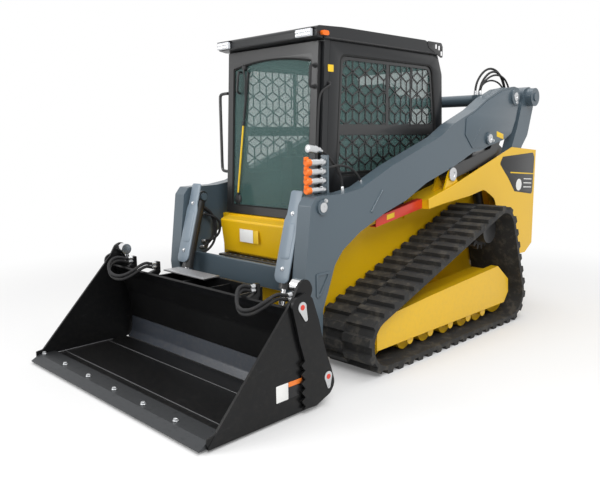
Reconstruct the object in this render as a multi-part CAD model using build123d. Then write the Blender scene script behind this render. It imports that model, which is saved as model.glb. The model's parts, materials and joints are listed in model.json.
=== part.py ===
from build123d import *
from math import atan2, cos, degrees, hypot, pi, radians, sin, sqrt
import os

# Compact track loader. Millimetres, +X forward, +Y to the machine's left, +Z up.
# The origin is on the ground, under the middle of the machine.
os.makedirs("parts", exist_ok=True)

# ---------------------------------------------------------------- driving sizes
PLATE = 12.0                 # general steel plate
SHEET = 6.0                  # body panels
RUN_GAP = 6.0                # between pieces that move past each other
FIT = 0.6                    # radial play of a pin in an eye
FACE_GAP = 0.3               # between flat faces that turn on each other

# tracks and undercarriage: name -> (x, z, radius over the lugs)
FRONT_WHEEL = (447.0, 205.0, 205.0)
REAR_WHEEL = (-1158.0, 215.0, 215.0)
DRIVE_WHEEL = (-985.0, 742.0, 205.0)
TRACK_IN = 480.0             # track edges, from the centre plane
TRACK_OUT = 930.0
LUG_H = 26.0                 # tread lug height
BELT_T = 28.0                # rubber belt under the lugs
LUG_COUNT = 44
LUG_BASE = 62.0
LUG_TIP = 44.0
ROLLER_X = (115.0, -125.0, -380.0, -625.0, -835.0)
ROLLER_R = 78.0
FRAME_IN = 640.0             # track frame, from the centre plane
FRAME_OUT = 860.0

# chassis
WALL_Y = 464.0               # outer face of the tub walls
PANEL_Y = 700.0              # outer face of the rear side panels
TAIL_X = -1925.0             # rear door's outer face
TAIL_BACK = TAIL_X + 25      # chassis back plate
DOOR_AXIS_X = TAIL_X + 10    # rear door's hinge pins
HINGE_HEIGHTS = (620.0, 1100.0)
BAY_X = -792.0               # where the cab's tub meets the engine bay
BASE_Z = 330.0               # underside of the tail

# lift linkage pivots (x, z)
LINK_FOOT = (-1440.0, 1000.0)     # rear link on the chassis
LINK_HEAD = (-1765.0, 1795.0)     # rear link on the lift arm
CONTROL_FOOT = (-597.0, 1198.0)   # control link on the chassis
CONTROL_HEAD = (-1500.0, 1790.0)  # control link on the lift arm
LIFT_FOOT = (-1480.0, 430.0)      # lift cylinder on the chassis
LIFT_HEAD = (-1100.0, 1455.0)     # lift cylinder on the lift arm
TILT_HEAD = (804.0, 1067.0)       # tilt cylinder on the lift arm
TILT_FOOT = (1000.0, 370.0)        # tilt cylinder on the coupler
BUCKET_PIN = (870.0, 250.0)       # coupler on the lift arm
CLAM_PIN = (1265.0, 598.0)        # clam on the moldboard
CLAM_HEAD = (1213.0, 694.0)       # clam cylinder on the clam
CLAM_FOOT = (1064.0, 112.0)       # clam cylinder on the moldboard side

# bands across the machine (inner y, outer y), left side
ARM_OUTER = (678.0, 690.0)
ARM_INNER = (582.0, 594.0)
REAR_LINK = (602.0, 688.0)
CONTROL_LINK = (604.0, 668.0)
LIFT_CYL_Y = 516.0
TILT_CYL_Y = 505.0
EAR_GAP = 32.0               # half the gap between the coupler ears
COUPLER_X = 1062.0           # back face of the coupler plate
CLAM_CYL_Y = 893.0
TOWER_Y = 566.0              # inner face of the rear towers

# bucket
BUCKET_Y = 979.0
CLAM_Y = 956.0               # outer face of the clam side plates
MOLD_Y = 934.0               # end of the moldboard
NOTCHES = 5
SIDE_T = 16.0
LIP_X = 1925.0

# cab
CAB_Y = 470.0
CAB_WALL = 30.0
CAB_FLOOR_Z = 940.0
ROOF_Z = 2075.0
DECK_Z = CAB_FLOOR_Z - 0.3    # top of the tub under the cab

GROUPS = {}


# ---------------------------------------------------------------- helpers
def face_of(rows, place):
    """Closed face from rows (u, v) or (u, v, corner radius)."""
    pts = [(r[0], r[1], r[2] if len(r) > 2 else 0.0) for r in rows]
    edges = []
    first = last = None
    for i, (u, v, rad) in enumerate(pts):
        pu, pv, _ = pts[i - 1]
        nu, nv, _ = pts[(i + 1) % len(pts)]
        start = end = (u, v)
        mid = None
        if rad > 0:
            a = (pu - u, pv - v)
            b = (nu - u, nv - v)
            la, lb = hypot(*a), hypot(*b)
            a = (a[0] / la, a[1] / la)
            b = (b[0] / lb, b[1] / lb)
            half = 0.5 * degrees(atan2(abs(a[0] * b[1] - a[1] * b[0]), a[0] * b[0] + a[1] * b[1]))
            t = rad / (sin(radians(half)) / cos(radians(half)))
            start = (u + a[0] * t, v + a[1] * t)
            end = (u + b[0] * t, v + b[1] * t)
            c = (a[0] + b[0], a[1] + b[1])
            lc = hypot(*c)
            reach = rad / sin(radians(half)) - rad
            mid = (u + c[0] / lc * reach, v + c[1] / lc * reach)
        if last is None:
            first = start
        elif hypot(start[0] - last[0], start[1] - last[1]) > 1e-4:
            edges.append(Line(place(*last), place(*start)))
        if mid is not None:
            edges.append(ThreePointArc(place(*start), place(*mid), place(*end)))
        last = end
    if hypot(first[0] - last[0], first[1] - last[1]) > 1e-4:
        edges.append(Line(place(*last), place(*first)))
    return make_face(edges)


def along_y(rows, y0, y1):
    """Prism of an (x, z) outline from y0 to y1."""
    lo, hi = min(y0, y1), max(y0, y1)
    return extrude(face_of(rows, lambda u, v: (u, lo, v)), hi - lo, dir=(0, 1, 0))


def along_x(rows, x0, x1):
    """Prism of a (y, z) outline from x0 to x1."""
    lo, hi = min(x0, x1), max(x0, x1)
    return extrude(face_of(rows, lambda u, v: (lo, u, v)), hi - lo, dir=(1, 0, 0))


def along_z(rows, z0, z1):
    """Prism of an (x, y) outline from z0 to z1."""
    return extrude(face_of(rows, lambda u, v: (u, v, z0)), z1 - z0, dir=(0, 0, 1))


def box(x0, x1, y0, y1, z0, z1):
    return Pos((x0 + x1) / 2, (y0 + y1) / 2, (z0 + z1) / 2) * Box(x1 - x0, abs(y1 - y0), z1 - z0)


def rod(p0, p1, r):
    """Round bar from p0 to p1."""
    a, b = Vector(*p0), Vector(*p1)
    return Part(Solid.make_cylinder(r, (b - a).length, Plane(a, z_dir=b - a)).wrapped)


def pin_y(at, r, y0, y1):
    """Round bar across the machine at an (x, z) place."""
    return rod((at[0], min(y0, y1), at[1]), (at[0], max(y0, y1), at[1]), r)


def both(s):
    """The left piece and its mirror image."""
    return s + mirror(s, Plane.XZ)


def toward(a, b, d):
    """The (x, z) point at distance d from a on the way to b."""
    n = hypot(b[0] - a[0], b[1] - a[1])
    return (a[0] + (b[0] - a[0]) * d / n, a[1] + (b[1] - a[1]) * d / n)


def strap(a, b, ra, rb, y0, y1):
    """Flat bar with round ends between two (x, z) places."""
    ang = atan2(b[1] - a[1], b[0] - a[0])
    nx, nz = -sin(ang), cos(ang)
    rows = [(a[0] + nx * ra, a[1] + nz * ra), (b[0] + nx * rb, b[1] + nz * rb),
            (b[0] - nx * rb, b[1] - nz * rb), (a[0] - nx * ra, a[1] - nz * ra)]
    return along_y(rows, y0, y1) + pin_y(a, ra, y0, y1) + pin_y(b, rb, y0, y1)


def cylinder_pair(foot, head, y, barrel_r, rod_r, barrel_len, rod_in, eye_r, eye_w, head_y):
    """Barrel with its foot eye, and rod with its head eye, on the line foot-head."""
    end = toward(foot, head, barrel_len)
    start = toward(foot, head, eye_r * 0.8)
    barrel = rod((start[0], y, start[1]), (end[0], y, end[1]), barrel_r)
    gland0 = toward(foot, head, barrel_len - 34)
    barrel += rod((gland0[0], y, gland0[1]), (end[0], y, end[1]), barrel_r + 3)
    barrel += pin_y(foot, eye_r, y - eye_w / 2, y + eye_w / 2)
    bore0 = toward(foot, head, eye_r + 8)
    over = toward(foot, head, barrel_len + 5)
    barrel -= rod((bore0[0], y, bore0[1]), (over[0], y, over[1]), rod_r + FIT)
    span = hypot(head[0] - foot[0], head[1] - foot[1])
    rod0 = toward(foot, head, rod_in)
    rod1 = toward(foot, head, span - eye_r * 0.7)
    stem = rod((rod0[0], y, rod0[1]), (rod1[0], y, rod1[1]), rod_r)
    stem += pin_y(head, eye_r, head_y[0], head_y[1])
    return barrel, stem


def keep(name, shape, colour):
    GROUPS[name] = (shape, colour)


# ---------------------------------------------------------------- tracks
def tangent_points(c0, c1):
    """Outer tangent from wheel c0 to wheel c1, on the left of the way."""
    dx, dz = c1[0] - c0[0], c1[1] - c0[1]
    d = hypot(dx, dz)
    base = atan2(dz, dx)
    turn = base + pi / 2 - atan2(c1[2] - c0[2], sqrt(d * d - (c1[2] - c0[2]) ** 2))
    n = (cos(turn), sin(turn))
    return (c0[0] + n[0] * c0[2], c0[1] + n[1] * c0[2]), (c1[0] + n[0] * c1[2], c1[1] + n[1] * c1[2]), turn


def loop_runs(inset):
    """Straight runs and arcs of the track loop, inset from the lug tips, clockwise seen from the left."""
    wheels = [(x, z, r - inset) for x, z, r in (REAR_WHEEL, DRIVE_WHEEL, FRONT_WHEEL)]
    runs = []
    for i, w in enumerate(wheels):
        nxt = wheels[(i + 1) % 3]
        prev = wheels[i - 1]
        a_in = tangent_points(prev, w)[2]
        a_out = tangent_points(w, nxt)[2]
        while a_out > a_in:
            a_out -= 2 * pi
        runs.append(("arc", w, a_in, a_out))
        p, q, _ = tangent_points(w, nxt)
        runs.append(("line", p, q, a_out))
    return runs


def loop_length(runs):
    total = 0.0
    for run in runs:
        total += run[1][2] * (run[2] - run[3]) if run[0] == "arc" else hypot(run[2][0] - run[1][0], run[2][1] - run[1][1])
    return total


def loop_point(runs, s, lift):
    """Place at distance s along the loop, lifted outward."""
    s = s % loop_length(runs)
    for run in runs:
        if run[0] == "arc":
            size = run[1][2] * (run[2] - run[3])
            if s <= size:
                a = run[2] - s / run[1][2]
                r = run[1][2] + lift
                return (run[1][0] + cos(a) * r, run[1][1] + sin(a) * r)
        else:
            size = hypot(run[2][0] - run[1][0], run[2][1] - run[1][1])
            if s <= size:
                f = s / size
                x = run[1][0] + (run[2][0] - run[1][0]) * f
                z = run[1][1] + (run[2][1] - run[1][1]) * f
                return (x + cos(run[3]) * lift, z + sin(run[3]) * lift)
        s -= size
    return loop_point(runs, 0.0, lift)


def loop_face(inset):
    edges = []
    for run in loop_runs(inset):
        if run[0] == "arc":
            x, z, r = run[1]
            pts = [(x + cos(a) * r, 0, z + sin(a) * r) for a in (run[2], (run[2] + run[3]) / 2, run[3])]
            edges.append(ThreePointArc(*pts))
        else:
            edges.append(Line((run[1][0], 0, run[1][1]), (run[2][0], 0, run[2][1])))
    return make_face(edges)


def track_band(y0, y1, phase):
    """Belt with cross lugs between two edges."""
    runs = loop_runs(LUG_H)
    pitch = loop_length(runs) / LUG_COUNT
    rows = []
    for i in range(LUG_COUNT):
        s = (i + phase) * pitch
        # columns: distance along the loop from the lug's middle, lift
        for ds, lift in ((-LUG_BASE / 2, 0), (-LUG_TIP / 2, LUG_H), (LUG_TIP / 2, LUG_H), (LUG_BASE / 2, 0)):
            rows.append(loop_point(runs, s + ds, lift))
    return along_y(rows, y0, y1)


track = track_band(TRACK_IN, (TRACK_IN + TRACK_OUT) / 2, 0.0) + track_band((TRACK_IN + TRACK_OUT) / 2, TRACK_OUT, 0.5)
hole = extrude(loop_face(LUG_H + BELT_T).moved(Location((0, TRACK_IN - 5, 0))), TRACK_OUT - TRACK_IN + 10, dir=(0, 1, 0))
track -= hole
keep("tracks", both(track), "rubber")

mid_y = (TRACK_IN + TRACK_OUT) / 2
wheel_gap = LUG_H + BELT_T + FACE_GAP

idlers = Part()
for x, z, r in (FRONT_WHEEL, REAR_WHEEL):
    rim = r - wheel_gap
    wheel = pin_y((x, z), rim, mid_y - 60, mid_y - 24) + pin_y((x, z), rim, mid_y + 24, mid_y + 60)
    wheel += pin_y((x, z), rim * 0.72, mid_y - 25, mid_y + 25) + pin_y((x, z), 50, mid_y - 78, FRAME_OUT - PLATE)
    idlers += wheel
keep("idlers", both(idlers), "yellow")

rollers = Part()
belt_top = LUG_H + BELT_T
for x in ROLLER_X:
    z = belt_top + ROLLER_R + FACE_GAP
    roller = pin_y((x, z), ROLLER_R, mid_y - 88, mid_y - 30) + pin_y((x, z), ROLLER_R, mid_y + 30, mid_y + 88)
    roller += pin_y((x, z), 45, mid_y - 31, mid_y + 31) + pin_y((x, z), 24, mid_y, FRAME_OUT - PLATE - 10)
    rollers += roller
keep("rollers", both(rollers), "yellow")

TEETH = 15
drive_x, drive_z, drive_r = DRIVE_WHEEL
root = drive_r - wheel_gap - 34
tip = drive_r - wheel_gap
rows = []
for i in range(TEETH):
    for step, rad in ((-0.34, root), (-0.16, tip), (0.16, tip), (0.34, root)):
        a = 2 * pi * (i + step) / TEETH
        rows.append((drive_x + cos(a) * rad, drive_z + sin(a) * rad))
sprocket = along_y(rows, mid_y - 20, mid_y + 20)
sprocket += pin_y((drive_x, drive_z), 95, mid_y - 45 + FACE_GAP, mid_y + 95)
keep("sprockets", both(sprocket), "black")

motor = pin_y((drive_x, drive_z), 110, WALL_Y, mid_y - 45)
motor += pin_y((drive_x, drive_z), 150, WALL_Y, WALL_Y + 14)
keep("drive_motors", both(motor), "black")

# track frame: hollow beam, closed outside, with a sloping top
shell = [(490, 339), (487, 139), (-1145, 152), (-1209, 231), (-1200, 336), (-1027, 465), (-91, 394)]
beam = along_y([(430, 330), (430, 216), (-1080, 216), (-1130, 260), (-1130, 336), (-1027, 430), (-91, 372)], FRAME_IN, FRAME_OUT - 60)
skin = along_y(shell, FRAME_OUT - 12, FRAME_OUT)
inner_skin = along_y([(380, 330), (380, 139), (-1080, 152), (-1130, 231), (-1130, 336), (-1027, 430), (-91, 372)], FRAME_IN - 10, FRAME_IN)
frame = beam + skin + inner_skin
cap = along_y([(490, 339), (420, 339), (-91, 372), (-1027, 430), (-1200, 336), (-1027, 465), (-91, 394)], FRAME_OUT - 61, FRAME_OUT - 6)
frame += cap
for x in (330.0, -700.0):
    frame += rod((x, WALL_Y, 300), (x, FRAME_IN + 5, 300), 60)
for wheel in (FRONT_WHEEL, REAR_WHEEL):
    frame -= pin_y(wheel[:2], wheel[2] - wheel_gap + RUN_GAP, mid_y - 84, FRAME_OUT - PLATE - 10)
for x in ROLLER_X:
    z = belt_top + ROLLER_R + FACE_GAP
    frame -= pin_y((x, z), ROLLER_R + RUN_GAP, mid_y - 94, mid_y + 94)
    frame += strap((x, z), (x, z + 60), 34, 34, FRAME_OUT - PLATE - 10, FRAME_OUT - PLATE)
keep("track_frames", both(frame), "yellow")

# ---------------------------------------------------------------- chassis
tub = [(640, 300, 30), (640, DECK_Z), (BAY_X, DECK_Z), (BAY_X, 250), (560, 250)]
walls = along_y(tub, WALL_Y - PLATE, WALL_Y)
bay = [(BAY_X, 1180), (TAIL_BACK, 1250), (TAIL_BACK, 420, 40), (TAIL_BACK + 120, BASE_Z), (-1320, BASE_Z),
       (-1200, 250), (BAY_X, 250)]
bay_walls = along_y(bay, WALL_Y - PLATE, WALL_Y)
bay_walls -= pin_y((drive_x, drive_z), 60, WALL_Y - 20, WALL_Y + 5)
tower_rows = [(-1385, 1100), (-1370, 420, 40), (-1700, BASE_Z), (TAIL_BACK, BASE_Z), (TAIL_BACK, 1250), (-1560, 1250)]
tower = along_y(tower_rows, TOWER_Y, TOWER_Y + PLATE)
stub = pin_y(LINK_FOOT, 80, TOWER_Y - 10, ARM_INNER[0] + 2)
stub += pin_y(LINK_FOOT, 35 - FIT, ARM_INNER[0] - 5, PANEL_Y - SHEET)
lift_pin = pin_y(LIFT_FOOT, 25 - FIT, WALL_Y, TOWER_Y + 2)
# control link bracket: two ears on a shelf over the track
ear = along_y([(-700, 1060), (-700, 1110), (-632, 1212, 12), (-560, 1212, 12), (-490, 1060)], ARM_OUTER[0] - 4, ARM_OUTER[1] - 2)
ear += pin_y(CONTROL_FOOT, 38, ARM_OUTER[0] - 4, ARM_OUTER[1] - 2)
ear2 = along_y([(-700, 1060), (-700, 1110), (-632, 1212, 12), (-560, 1212, 12), (-490, 1060)], ARM_INNER[0], ARM_INNER[1] + 4)
ear2 += pin_y(CONTROL_FOOT, 38, ARM_INNER[0], ARM_INNER[1] + 4)
control_pin = pin_y(CONTROL_FOOT, 26 - FIT, ARM_INNER[0], ARM_OUTER[1] + 6)
# shelf over the track, from the tub wall to the side panel
shelf = along_y([(-293, 966), (-300, 1028), (-700, 1120), (-700, 1060), (-640, 1060)], CAB_Y + 6, PANEL_Y - SHEET)
shelf += along_y([(-300, 880), (-300, 1000), (-700, 1100), (-700, 880)], CAB_Y + 6, CAB_Y + 12)
shelf += box(-700, -300, WALL_Y, CAB_Y + 12, 880, 930)
tow_eye = along_y([(-1890, BASE_Z + 1), (-1890, 290, 15), (-1860, 262, 20), (-1820, 262, 20), (-1790, BASE_Z + 1)], 290, 310)
tow_eye -= pin_y((-1840, 296), 22, 280, 320)
back = box(TAIL_BACK, TAIL_BACK + PLATE, -TOWER_Y, TOWER_Y, BASE_Z, 1249)
back -= box(TAIL_BACK - 1, TAIL_BACK + PLATE + 1, -400, 400, 470, 1180)
for z in HINGE_HEIGHTS:
    back += rod((DOOR_AXIS_X, 405, z - 55), (DOOR_AXIS_X, 405, z - 30.3), 9)
    back += box(DOOR_AXIS_X - 9, TAIL_BACK + 1, 398, 412, z - 55, z - 30.3)
base = box(TAIL_BACK + 10, -1400, -TOWER_Y, TOWER_Y, BASE_Z, BASE_Z + PLATE)
floor = box(BAY_X, 600, -WALL_Y + 2, WALL_Y - 2, 250, 262)
front = box(628, 640, -WALL_Y + 2, WALL_Y - 2, 290, DECK_Z)
deck = box(-780, 628, -WALL_Y + 2, WALL_Y - 2, DECK_Z - PLATE, DECK_Z)
tail = both(tow_eye) + back + base
bay_floor = box(-1200, BAY_X, -WALL_Y + 2, WALL_Y - 2, 250, 262)
keep("main_frame", both(walls) + floor + front + deck, "yellow")
keep("engine_bay", both(bay_walls) + bay_floor - tail, "yellow")
keep("tail_frame", tail, "yellow")
keep("rear_towers", both(tower + stub + lift_pin), "yellow")
keep("arm_brackets", both(shelf + ear + ear2 + control_pin), "yellow")

panel = along_y([(-1922, 1351), (-1484, 1382, 30), (-1287, 1322, 200), (-586, 1112), (-286, 1038), (-293, 966),
                 (-480, 990, 200), (-844, 1022, 300), (-1053, 1058, 120), (-1230, 972, 120), (-1430, 458), (-1800, 458), (-1917, 529)], PANEL_Y - SHEET, PANEL_Y)
panel += box(-1922, -1916, ARM_INNER[0] - 4, PANEL_Y - 1, 529, 1351)
panel += along_z([(-1922, ARM_INNER[0]), (-1922, PANEL_Y - 1), (-1800, PANEL_Y - 1), (-1800, ARM_INNER[0])], 529, 535)
keep("side_panels", both(panel), "yellow")

nose = along_y([(640, 660), (683, 672, 12), (715, 906, 16), (640, 930)], -400, 400)
keep("front_panel", nose, "yellow")
step = along_y([(640, 590), (640, 655), (735, 655, 8), (735, 600, 8)], -410, 410)
keep("step_bar", step, "black")

engine = box(-1500, -880, -300, 300, 520, 1180)
for y in (-220, 220):
    engine += box(-1480, -1420, y - 40, y + 40, 342, 530) + box(-960, -900, y - 40, y + 40, 262, 530)
keep("engine_block", engine, "metal")
wall_slope = (1250 - 1180) / (BAY_X - TAIL_BACK)         # of the bay walls' upper edge, towards the tail
hood = along_y([(-800, 1180 + 8 * wall_slope), (-800, 1440, 20), (-1700, 1400, 60), (-1900, 1300, 20), (-1900, 1250)], -WALL_Y, WALL_Y)
keep("engine_hood", hood, "black")
rear_door = box(TAIL_X, TAIL_X + 20, -390, 390, 480, 1240)
for z in HINGE_HEIGHTS:
    rear_door += rod((DOOR_AXIS_X, 405, z - 30), (DOOR_AXIS_X, 405, z + 30), 9)
    rear_door += box(TAIL_X + 2, TAIL_X + 18, 385, 405, z - 30, z + 30)
keep("rear_door", rear_door, "black")
exhaust = along_y([(-1080, 1427.8), (-1080, 1560, 20), (-830, 1560, 20), (-830, 1438.9)], -420, 420)
exhaust += rod((-950, 300, 1550), (-950, 300, 1860), 42)
keep("exhaust_box", exhaust, "black")

# ---------------------------------------------------------------- cab
side_rows = [(545, CAB_FLOOR_Z), (486, ROOF_Z), (-706, ROOF_Z, 0), (-767, 1939, 60), (-787, 1554, 100), (-787, CAB_FLOOR_Z)]
window_rows = [(440, 1320, 60), (392, 2000, 50), (-640, 2000, 60), (-700, 1560, 60), (-690, 1320, 60)]
cab = along_y(side_rows, CAB_Y - CAB_WALL, CAB_Y)
cab -= along_y(window_rows, CAB_Y - CAB_WALL - 5, CAB_Y + 5)
sides = both(cab)
keep("cab_sides", sides, "charcoal")
IN_Y = CAB_Y - CAB_WALL
rear_wall = along_y([(-787, CAB_FLOOR_Z), (-787, 1554, 100), (-767, 1939, 60), (-706, ROOF_Z), (-680, ROOF_Z), (-741, 1935, 60), (-761, 1554, 100), (-761, CAB_FLOOR_Z)], -IN_Y, IN_Y)
rear_wall -= box(-800, -600, -360, 360, 1380, 1980)
keep("cab_rear", rear_wall, "charcoal")
cab = box(-761, 500, -IN_Y, IN_Y, CAB_FLOOR_Z, CAB_FLOOR_Z + 20)
# front posts lean with the door
for y0, y1 in ((400, CAB_Y - 2), (-CAB_Y + 2, -400)):
    cab += along_y([(590, CAB_FLOOR_Z), (531, ROOF_Z), (440, ROOF_Z), (500, CAB_FLOOR_Z)], y0, y1)
cab += box(440, 533, -CAB_Y + 2, CAB_Y - 2, ROOF_Z - 60, ROOF_Z)
cab -= sides
keep("cab_frame", cab, "charcoal")
roof = along_y([(621, 2085, 10), (621, 2150, 30), (379, 2162), (-532, 2168, 60), (-680, 2105, 40), (-700, ROOF_Z + FACE_GAP), (560, ROOF_Z + FACE_GAP, 5)], -480, 480)
keep("cab_roof", roof, "charcoal")

glass_side = along_y(window_rows, CAB_Y - 20, CAB_Y - 14)
keep("side_glass", both(glass_side), "glass")
rear_glass = along_y([(-779, 1380), (-779, 1554, 100), (-757, 1939, 60), (-745, 1980), (-739, 1980), (-751, 1938, 60), (-773, 1554, 100), (-773, 1380)], -360, 360)
keep("rear_glass", rear_glass, "glass")
guard = along_y([(430, 1330, 60), (382, 1990, 50), (-632, 1990, 60), (-690, 1560, 60), (-680, 1330, 60)], CAB_Y - 14 + FACE_GAP, CAB_Y - 7)
guard -= along_y([(410, 1350, 60), (364, 1970, 50), (-616, 1970, 60), (-670, 1560, 60), (-660, 1350, 60)], CAB_Y - 15, CAB_Y - 3)
keep("window_guards", both(guard), "black")
seat = box(-420, 60, -260, 260, 1180, 1300) + along_y([(-420, 1240), (-560, 1880, 40), (-460, 1900, 40), (-300, 1250)], -240, 240)
seat += box(-380, 20, -200, 200, CAB_FLOOR_Z + 20, 1190)
keep("seat", seat, "black")
controls = Part()
for y in (-330, 330):
    controls += box(-260, 120, y - 60, y + 60, CAB_FLOOR_Z + 20, 1330)
    controls += rod((80, y, 1320), (80, y, 1450), 22)
keep("controls", controls, "black")

# door: outer frame and glass, leaning with the posts
def door_x(z):
    """Front face of the posts at a height."""
    return 590 + (531 - 590) * (z - CAB_FLOOR_Z) / (ROOF_Z - CAB_FLOOR_Z)


def door_slab(y0, y1, z0, z1, back_gap, thick):
    return along_y([(door_x(z0) + back_gap, z0), (door_x(z1) + back_gap, z1),
                    (door_x(z1) + back_gap + thick, z1), (door_x(z0) + back_gap + thick, z0)], y0, y1)


door = door_slab(-440, 440, CAB_FLOOR_Z + 5, ROOF_Z - 8, RUN_GAP, 26)
door -= door_slab(-385, 385, CAB_FLOOR_Z + 60, ROOF_Z - 80, RUN_GAP - 5, 40)
HINGE_Z = (1020.0, 1500.0, 1960.0)
HINGE_R = 7.0
hinge_off = HINGE_R + FACE_GAP
for z in HINGE_Z:
    a, b = z - 35, z + 35
    knuckle = rod((door_x(a) + hinge_off, -454, a), (door_x(b) + hinge_off, -454, b), HINGE_R)
    door += knuckle + along_y([(door_x(a) + RUN_GAP, a), (door_x(b) + RUN_GAP, b), (door_x(b) + RUN_GAP + 6, b), (door_x(a) + RUN_GAP + 6, a)], -454, -438)
keep("cab_door", door, "black")
keep("door_glass", door_slab(-385, 385, CAB_FLOOR_Z + 60, ROOF_Z - 80, RUN_GAP + 8, 6), "glass")

lamps = Part()
for y in (-400, 330):
    lamps += box(621 + FACE_GAP, 650, y - 55, y + 55, 2095, 2140)
keep("work_lamps", lamps, "white")
# oval marker lamp on the roof's left front corner
marker = along_y([(530, 2094, 12), (530, 2122, 12), (588, 2122, 12), (588, 2094, 12)], 480 + FACE_GAP, 502)
keep("marker_lamp", marker, "orange")

# rail loop beside the right front post
RAIL_R = 9.0
rail_x, rail_out, rail_in = 560.0, -560.0, -CAB_Y - RAIL_R
rail = rod((rail_x, rail_out, 1235), (rail_x, rail_out, 1795), RAIL_R)
for z, bend in ((1235, 1235), (1795, 1795)):
    foot_x = rail_x - 70
    rail += rod((rail_x, rail_out, z), (foot_x, rail_in - 2, z), RAIL_R)
    rail += Pos(foot_x, rail_in - 2, z) * Sphere(RAIL_R) + rod((foot_x, rail_in - 2, z), (foot_x, -CAB_Y - FACE_GAP, z), RAIL_R)
    rail += Pos(rail_x, rail_out, z) * Sphere(RAIL_R)
keep("grab_rail", rail, "black")

# ---------------------------------------------------------------- lift arm
top_edge = [(897, 1081, 20), (855, 1132, 20), (599, 1136, 60), (437, 1160, 100), (130, 1286, 200), (-427, 1471), (-620, 1570, 100), (-897, 1672, 200),
            (-1090, 1769, 150), (-1296, 1844, 150), (-1495, 1872, 100), (-1590, 1862, 30)]
low_edge = [(-1580, 1710, 60), (-1543, 1600, 100), (-1483, 1496, 60), (-1373, 1447, 100), (-1118, 1395, 60), (-1016, 1368), (-885, 1351, 60), (-597, 1246), (-267, 1152, 200), (-37, 1049),
            (200, 981, 200), (455, 882, 200), (618, 787, 100), (692, 704, 100), (738, 586, 60), (800, 440, 60), (808, 250), (808, 188, 50), (932, 188, 50), (932, 250), (948, 440, 60), (960, 597, 60)]
arm_outline = top_edge + low_edge
outer_plate = along_y(arm_outline, ARM_OUTER[0], ARM_OUTER[1])
inner_outline = [(897, 1081, 20), (855, 1132, 20), (599, 1136, 60), (437, 1160, 100), (130, 1286, 200), (-427, 1471), (-620, 1570, 100), (-897, 1672, 200),
                 (-1090, 1769, 150), (-1296, 1844, 150), (-1495, 1872, 100), (-1765, 1870, 70), (-1840, 1800, 60), (-1765, 1725, 60), (-1600, 1710, 60)] + low_edge[1:]
inner_plate = along_y(inner_outline, ARM_INNER[0], ARM_INNER[1])
core_rows = [(897, 1081, 20), (855, 1132, 20), (599, 1136, 60), (437, 1160, 100), (130, 1286, 200), (-427, 1471), (-560, 1535)]
core_low = [(-560, 1234), (-267, 1152, 200), (-37, 1049), (200, 981, 200), (455, 882, 200), (618, 787, 100), (692, 704, 100), (738, 586, 60),
            (800, 440, 60), (808, 250), (808, 188, 50), (932, 188, 50), (932, 250), (948, 440, 60), (960, 597, 60)]
core = along_y(core_rows + core_low, ARM_INNER[1] - 1, ARM_OUTER[0] + 1)
web = along_y([(-540, 1524), (-620, 1570, 60), (-897, 1672, 200), (-1090, 1769, 150), (-1296, 1844, 150), (-1400, 1859),
               (-1400, 1845), (-1296, 1830, 150), (-1090, 1755, 150), (-897, 1658, 200), (-620, 1556, 60), (-540, 1508)], ARM_INNER[1] - 1, ARM_OUTER[0] + 1)
arm = outer_plate + inner_plate + core + web
arm += pin_y(LIFT_HEAD, 48, ARM_INNER[0], ARM_OUTER[1] + 22)
arm += pin_y(CONTROL_HEAD, 62, ARM_OUTER[1] - 1, ARM_OUTER[1] + 20)
arm += pin_y(TILT_HEAD, 27 - FIT, TILT_CYL_Y - 44, ARM_INNER[0] + 2)
arm += pin_y(TILT_HEAD, 45, ARM_OUTER[1] - 1, ARM_OUTER[1] + 12)
arm += pin_y(LINK_HEAD, 35 - FIT, ARM_INNER[1] - 1, REAR_LINK[1] + 70)
arm -= pin_y(BUCKET_PIN, 28, ARM_INNER[0] - 5, ARM_OUTER[1] + 5)
torque_tube = pin_y((-1235, 1760), 46, -ARM_INNER[0] - 1, ARM_INNER[0] + 1)
crossmember = along_y([(826, 515, 8), (826, 670, 8), (852, 670, 8), (852, 515, 8)], -ARM_INNER[0] - 1, ARM_INNER[0] + 1)
lift_arm = both(arm) + torque_tube + crossmember
keep("lift_arm", lift_arm, "slate")

# rear links
link_rows = [(-1658, 1850, 60), (-1658, 1760, 60), (-1583, 1545, 200), (-1504, 1386, 100), (-1355, 1030, 60), (-1380, 920, 60), (-1480, 915, 60), (-1545, 1080, 60), (-1671, 1377, 60), (-1771, 1478, 100), (-1853, 1717, 100), (-1853, 1850, 70), (-1765, 1885, 70)]
rear = along_y(link_rows, REAR_LINK[0], REAR_LINK[1])
rear += pin_y(LINK_HEAD, 75, REAR_LINK[1] - 1, REAR_LINK[1] + 60)
rear -= pin_y(LINK_HEAD, 35, REAR_LINK[0] - 5, REAR_LINK[1] + 75)
rear -= pin_y(LINK_FOOT, 35, REAR_LINK[0] - 5, REAR_LINK[1] + 5)
keep("rear_links", both(rear), "slate")

# control links: bent bars, opened at the upper eye
knee = (-1220.0, 1330.0)
control = strap(CONTROL_FOOT, knee, 46, 52, CONTROL_LINK[0], CONTROL_LINK[1])
control += strap(knee, CONTROL_HEAD, 52, 50, CONTROL_LINK[0], CONTROL_LINK[1])
control += pin_y(CONTROL_HEAD, 50, ARM_INNER[1] + FACE_GAP, ARM_OUTER[0] - FACE_GAP)
control -= pin_y(CONTROL_FOOT, 26, CONTROL_LINK[0] - 5, CONTROL_LINK[1] + 5)
keep("control_links", both(control), "charcoal")

# lift cylinders
barrel, stem = cylinder_pair(LIFT_FOOT, LIFT_HEAD, LIFT_CYL_Y, 39, 22, 960, 140, 45, 60, (LIFT_CYL_Y - 30, ARM_INNER[0] - FACE_GAP))
barrel -= pin_y(LIFT_FOOT, 25, LIFT_CYL_Y - 40, LIFT_CYL_Y + 40)
keep("lift_barrels", both(barrel), "black")
keep("lift_rods", both(stem), "chrome")

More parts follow.
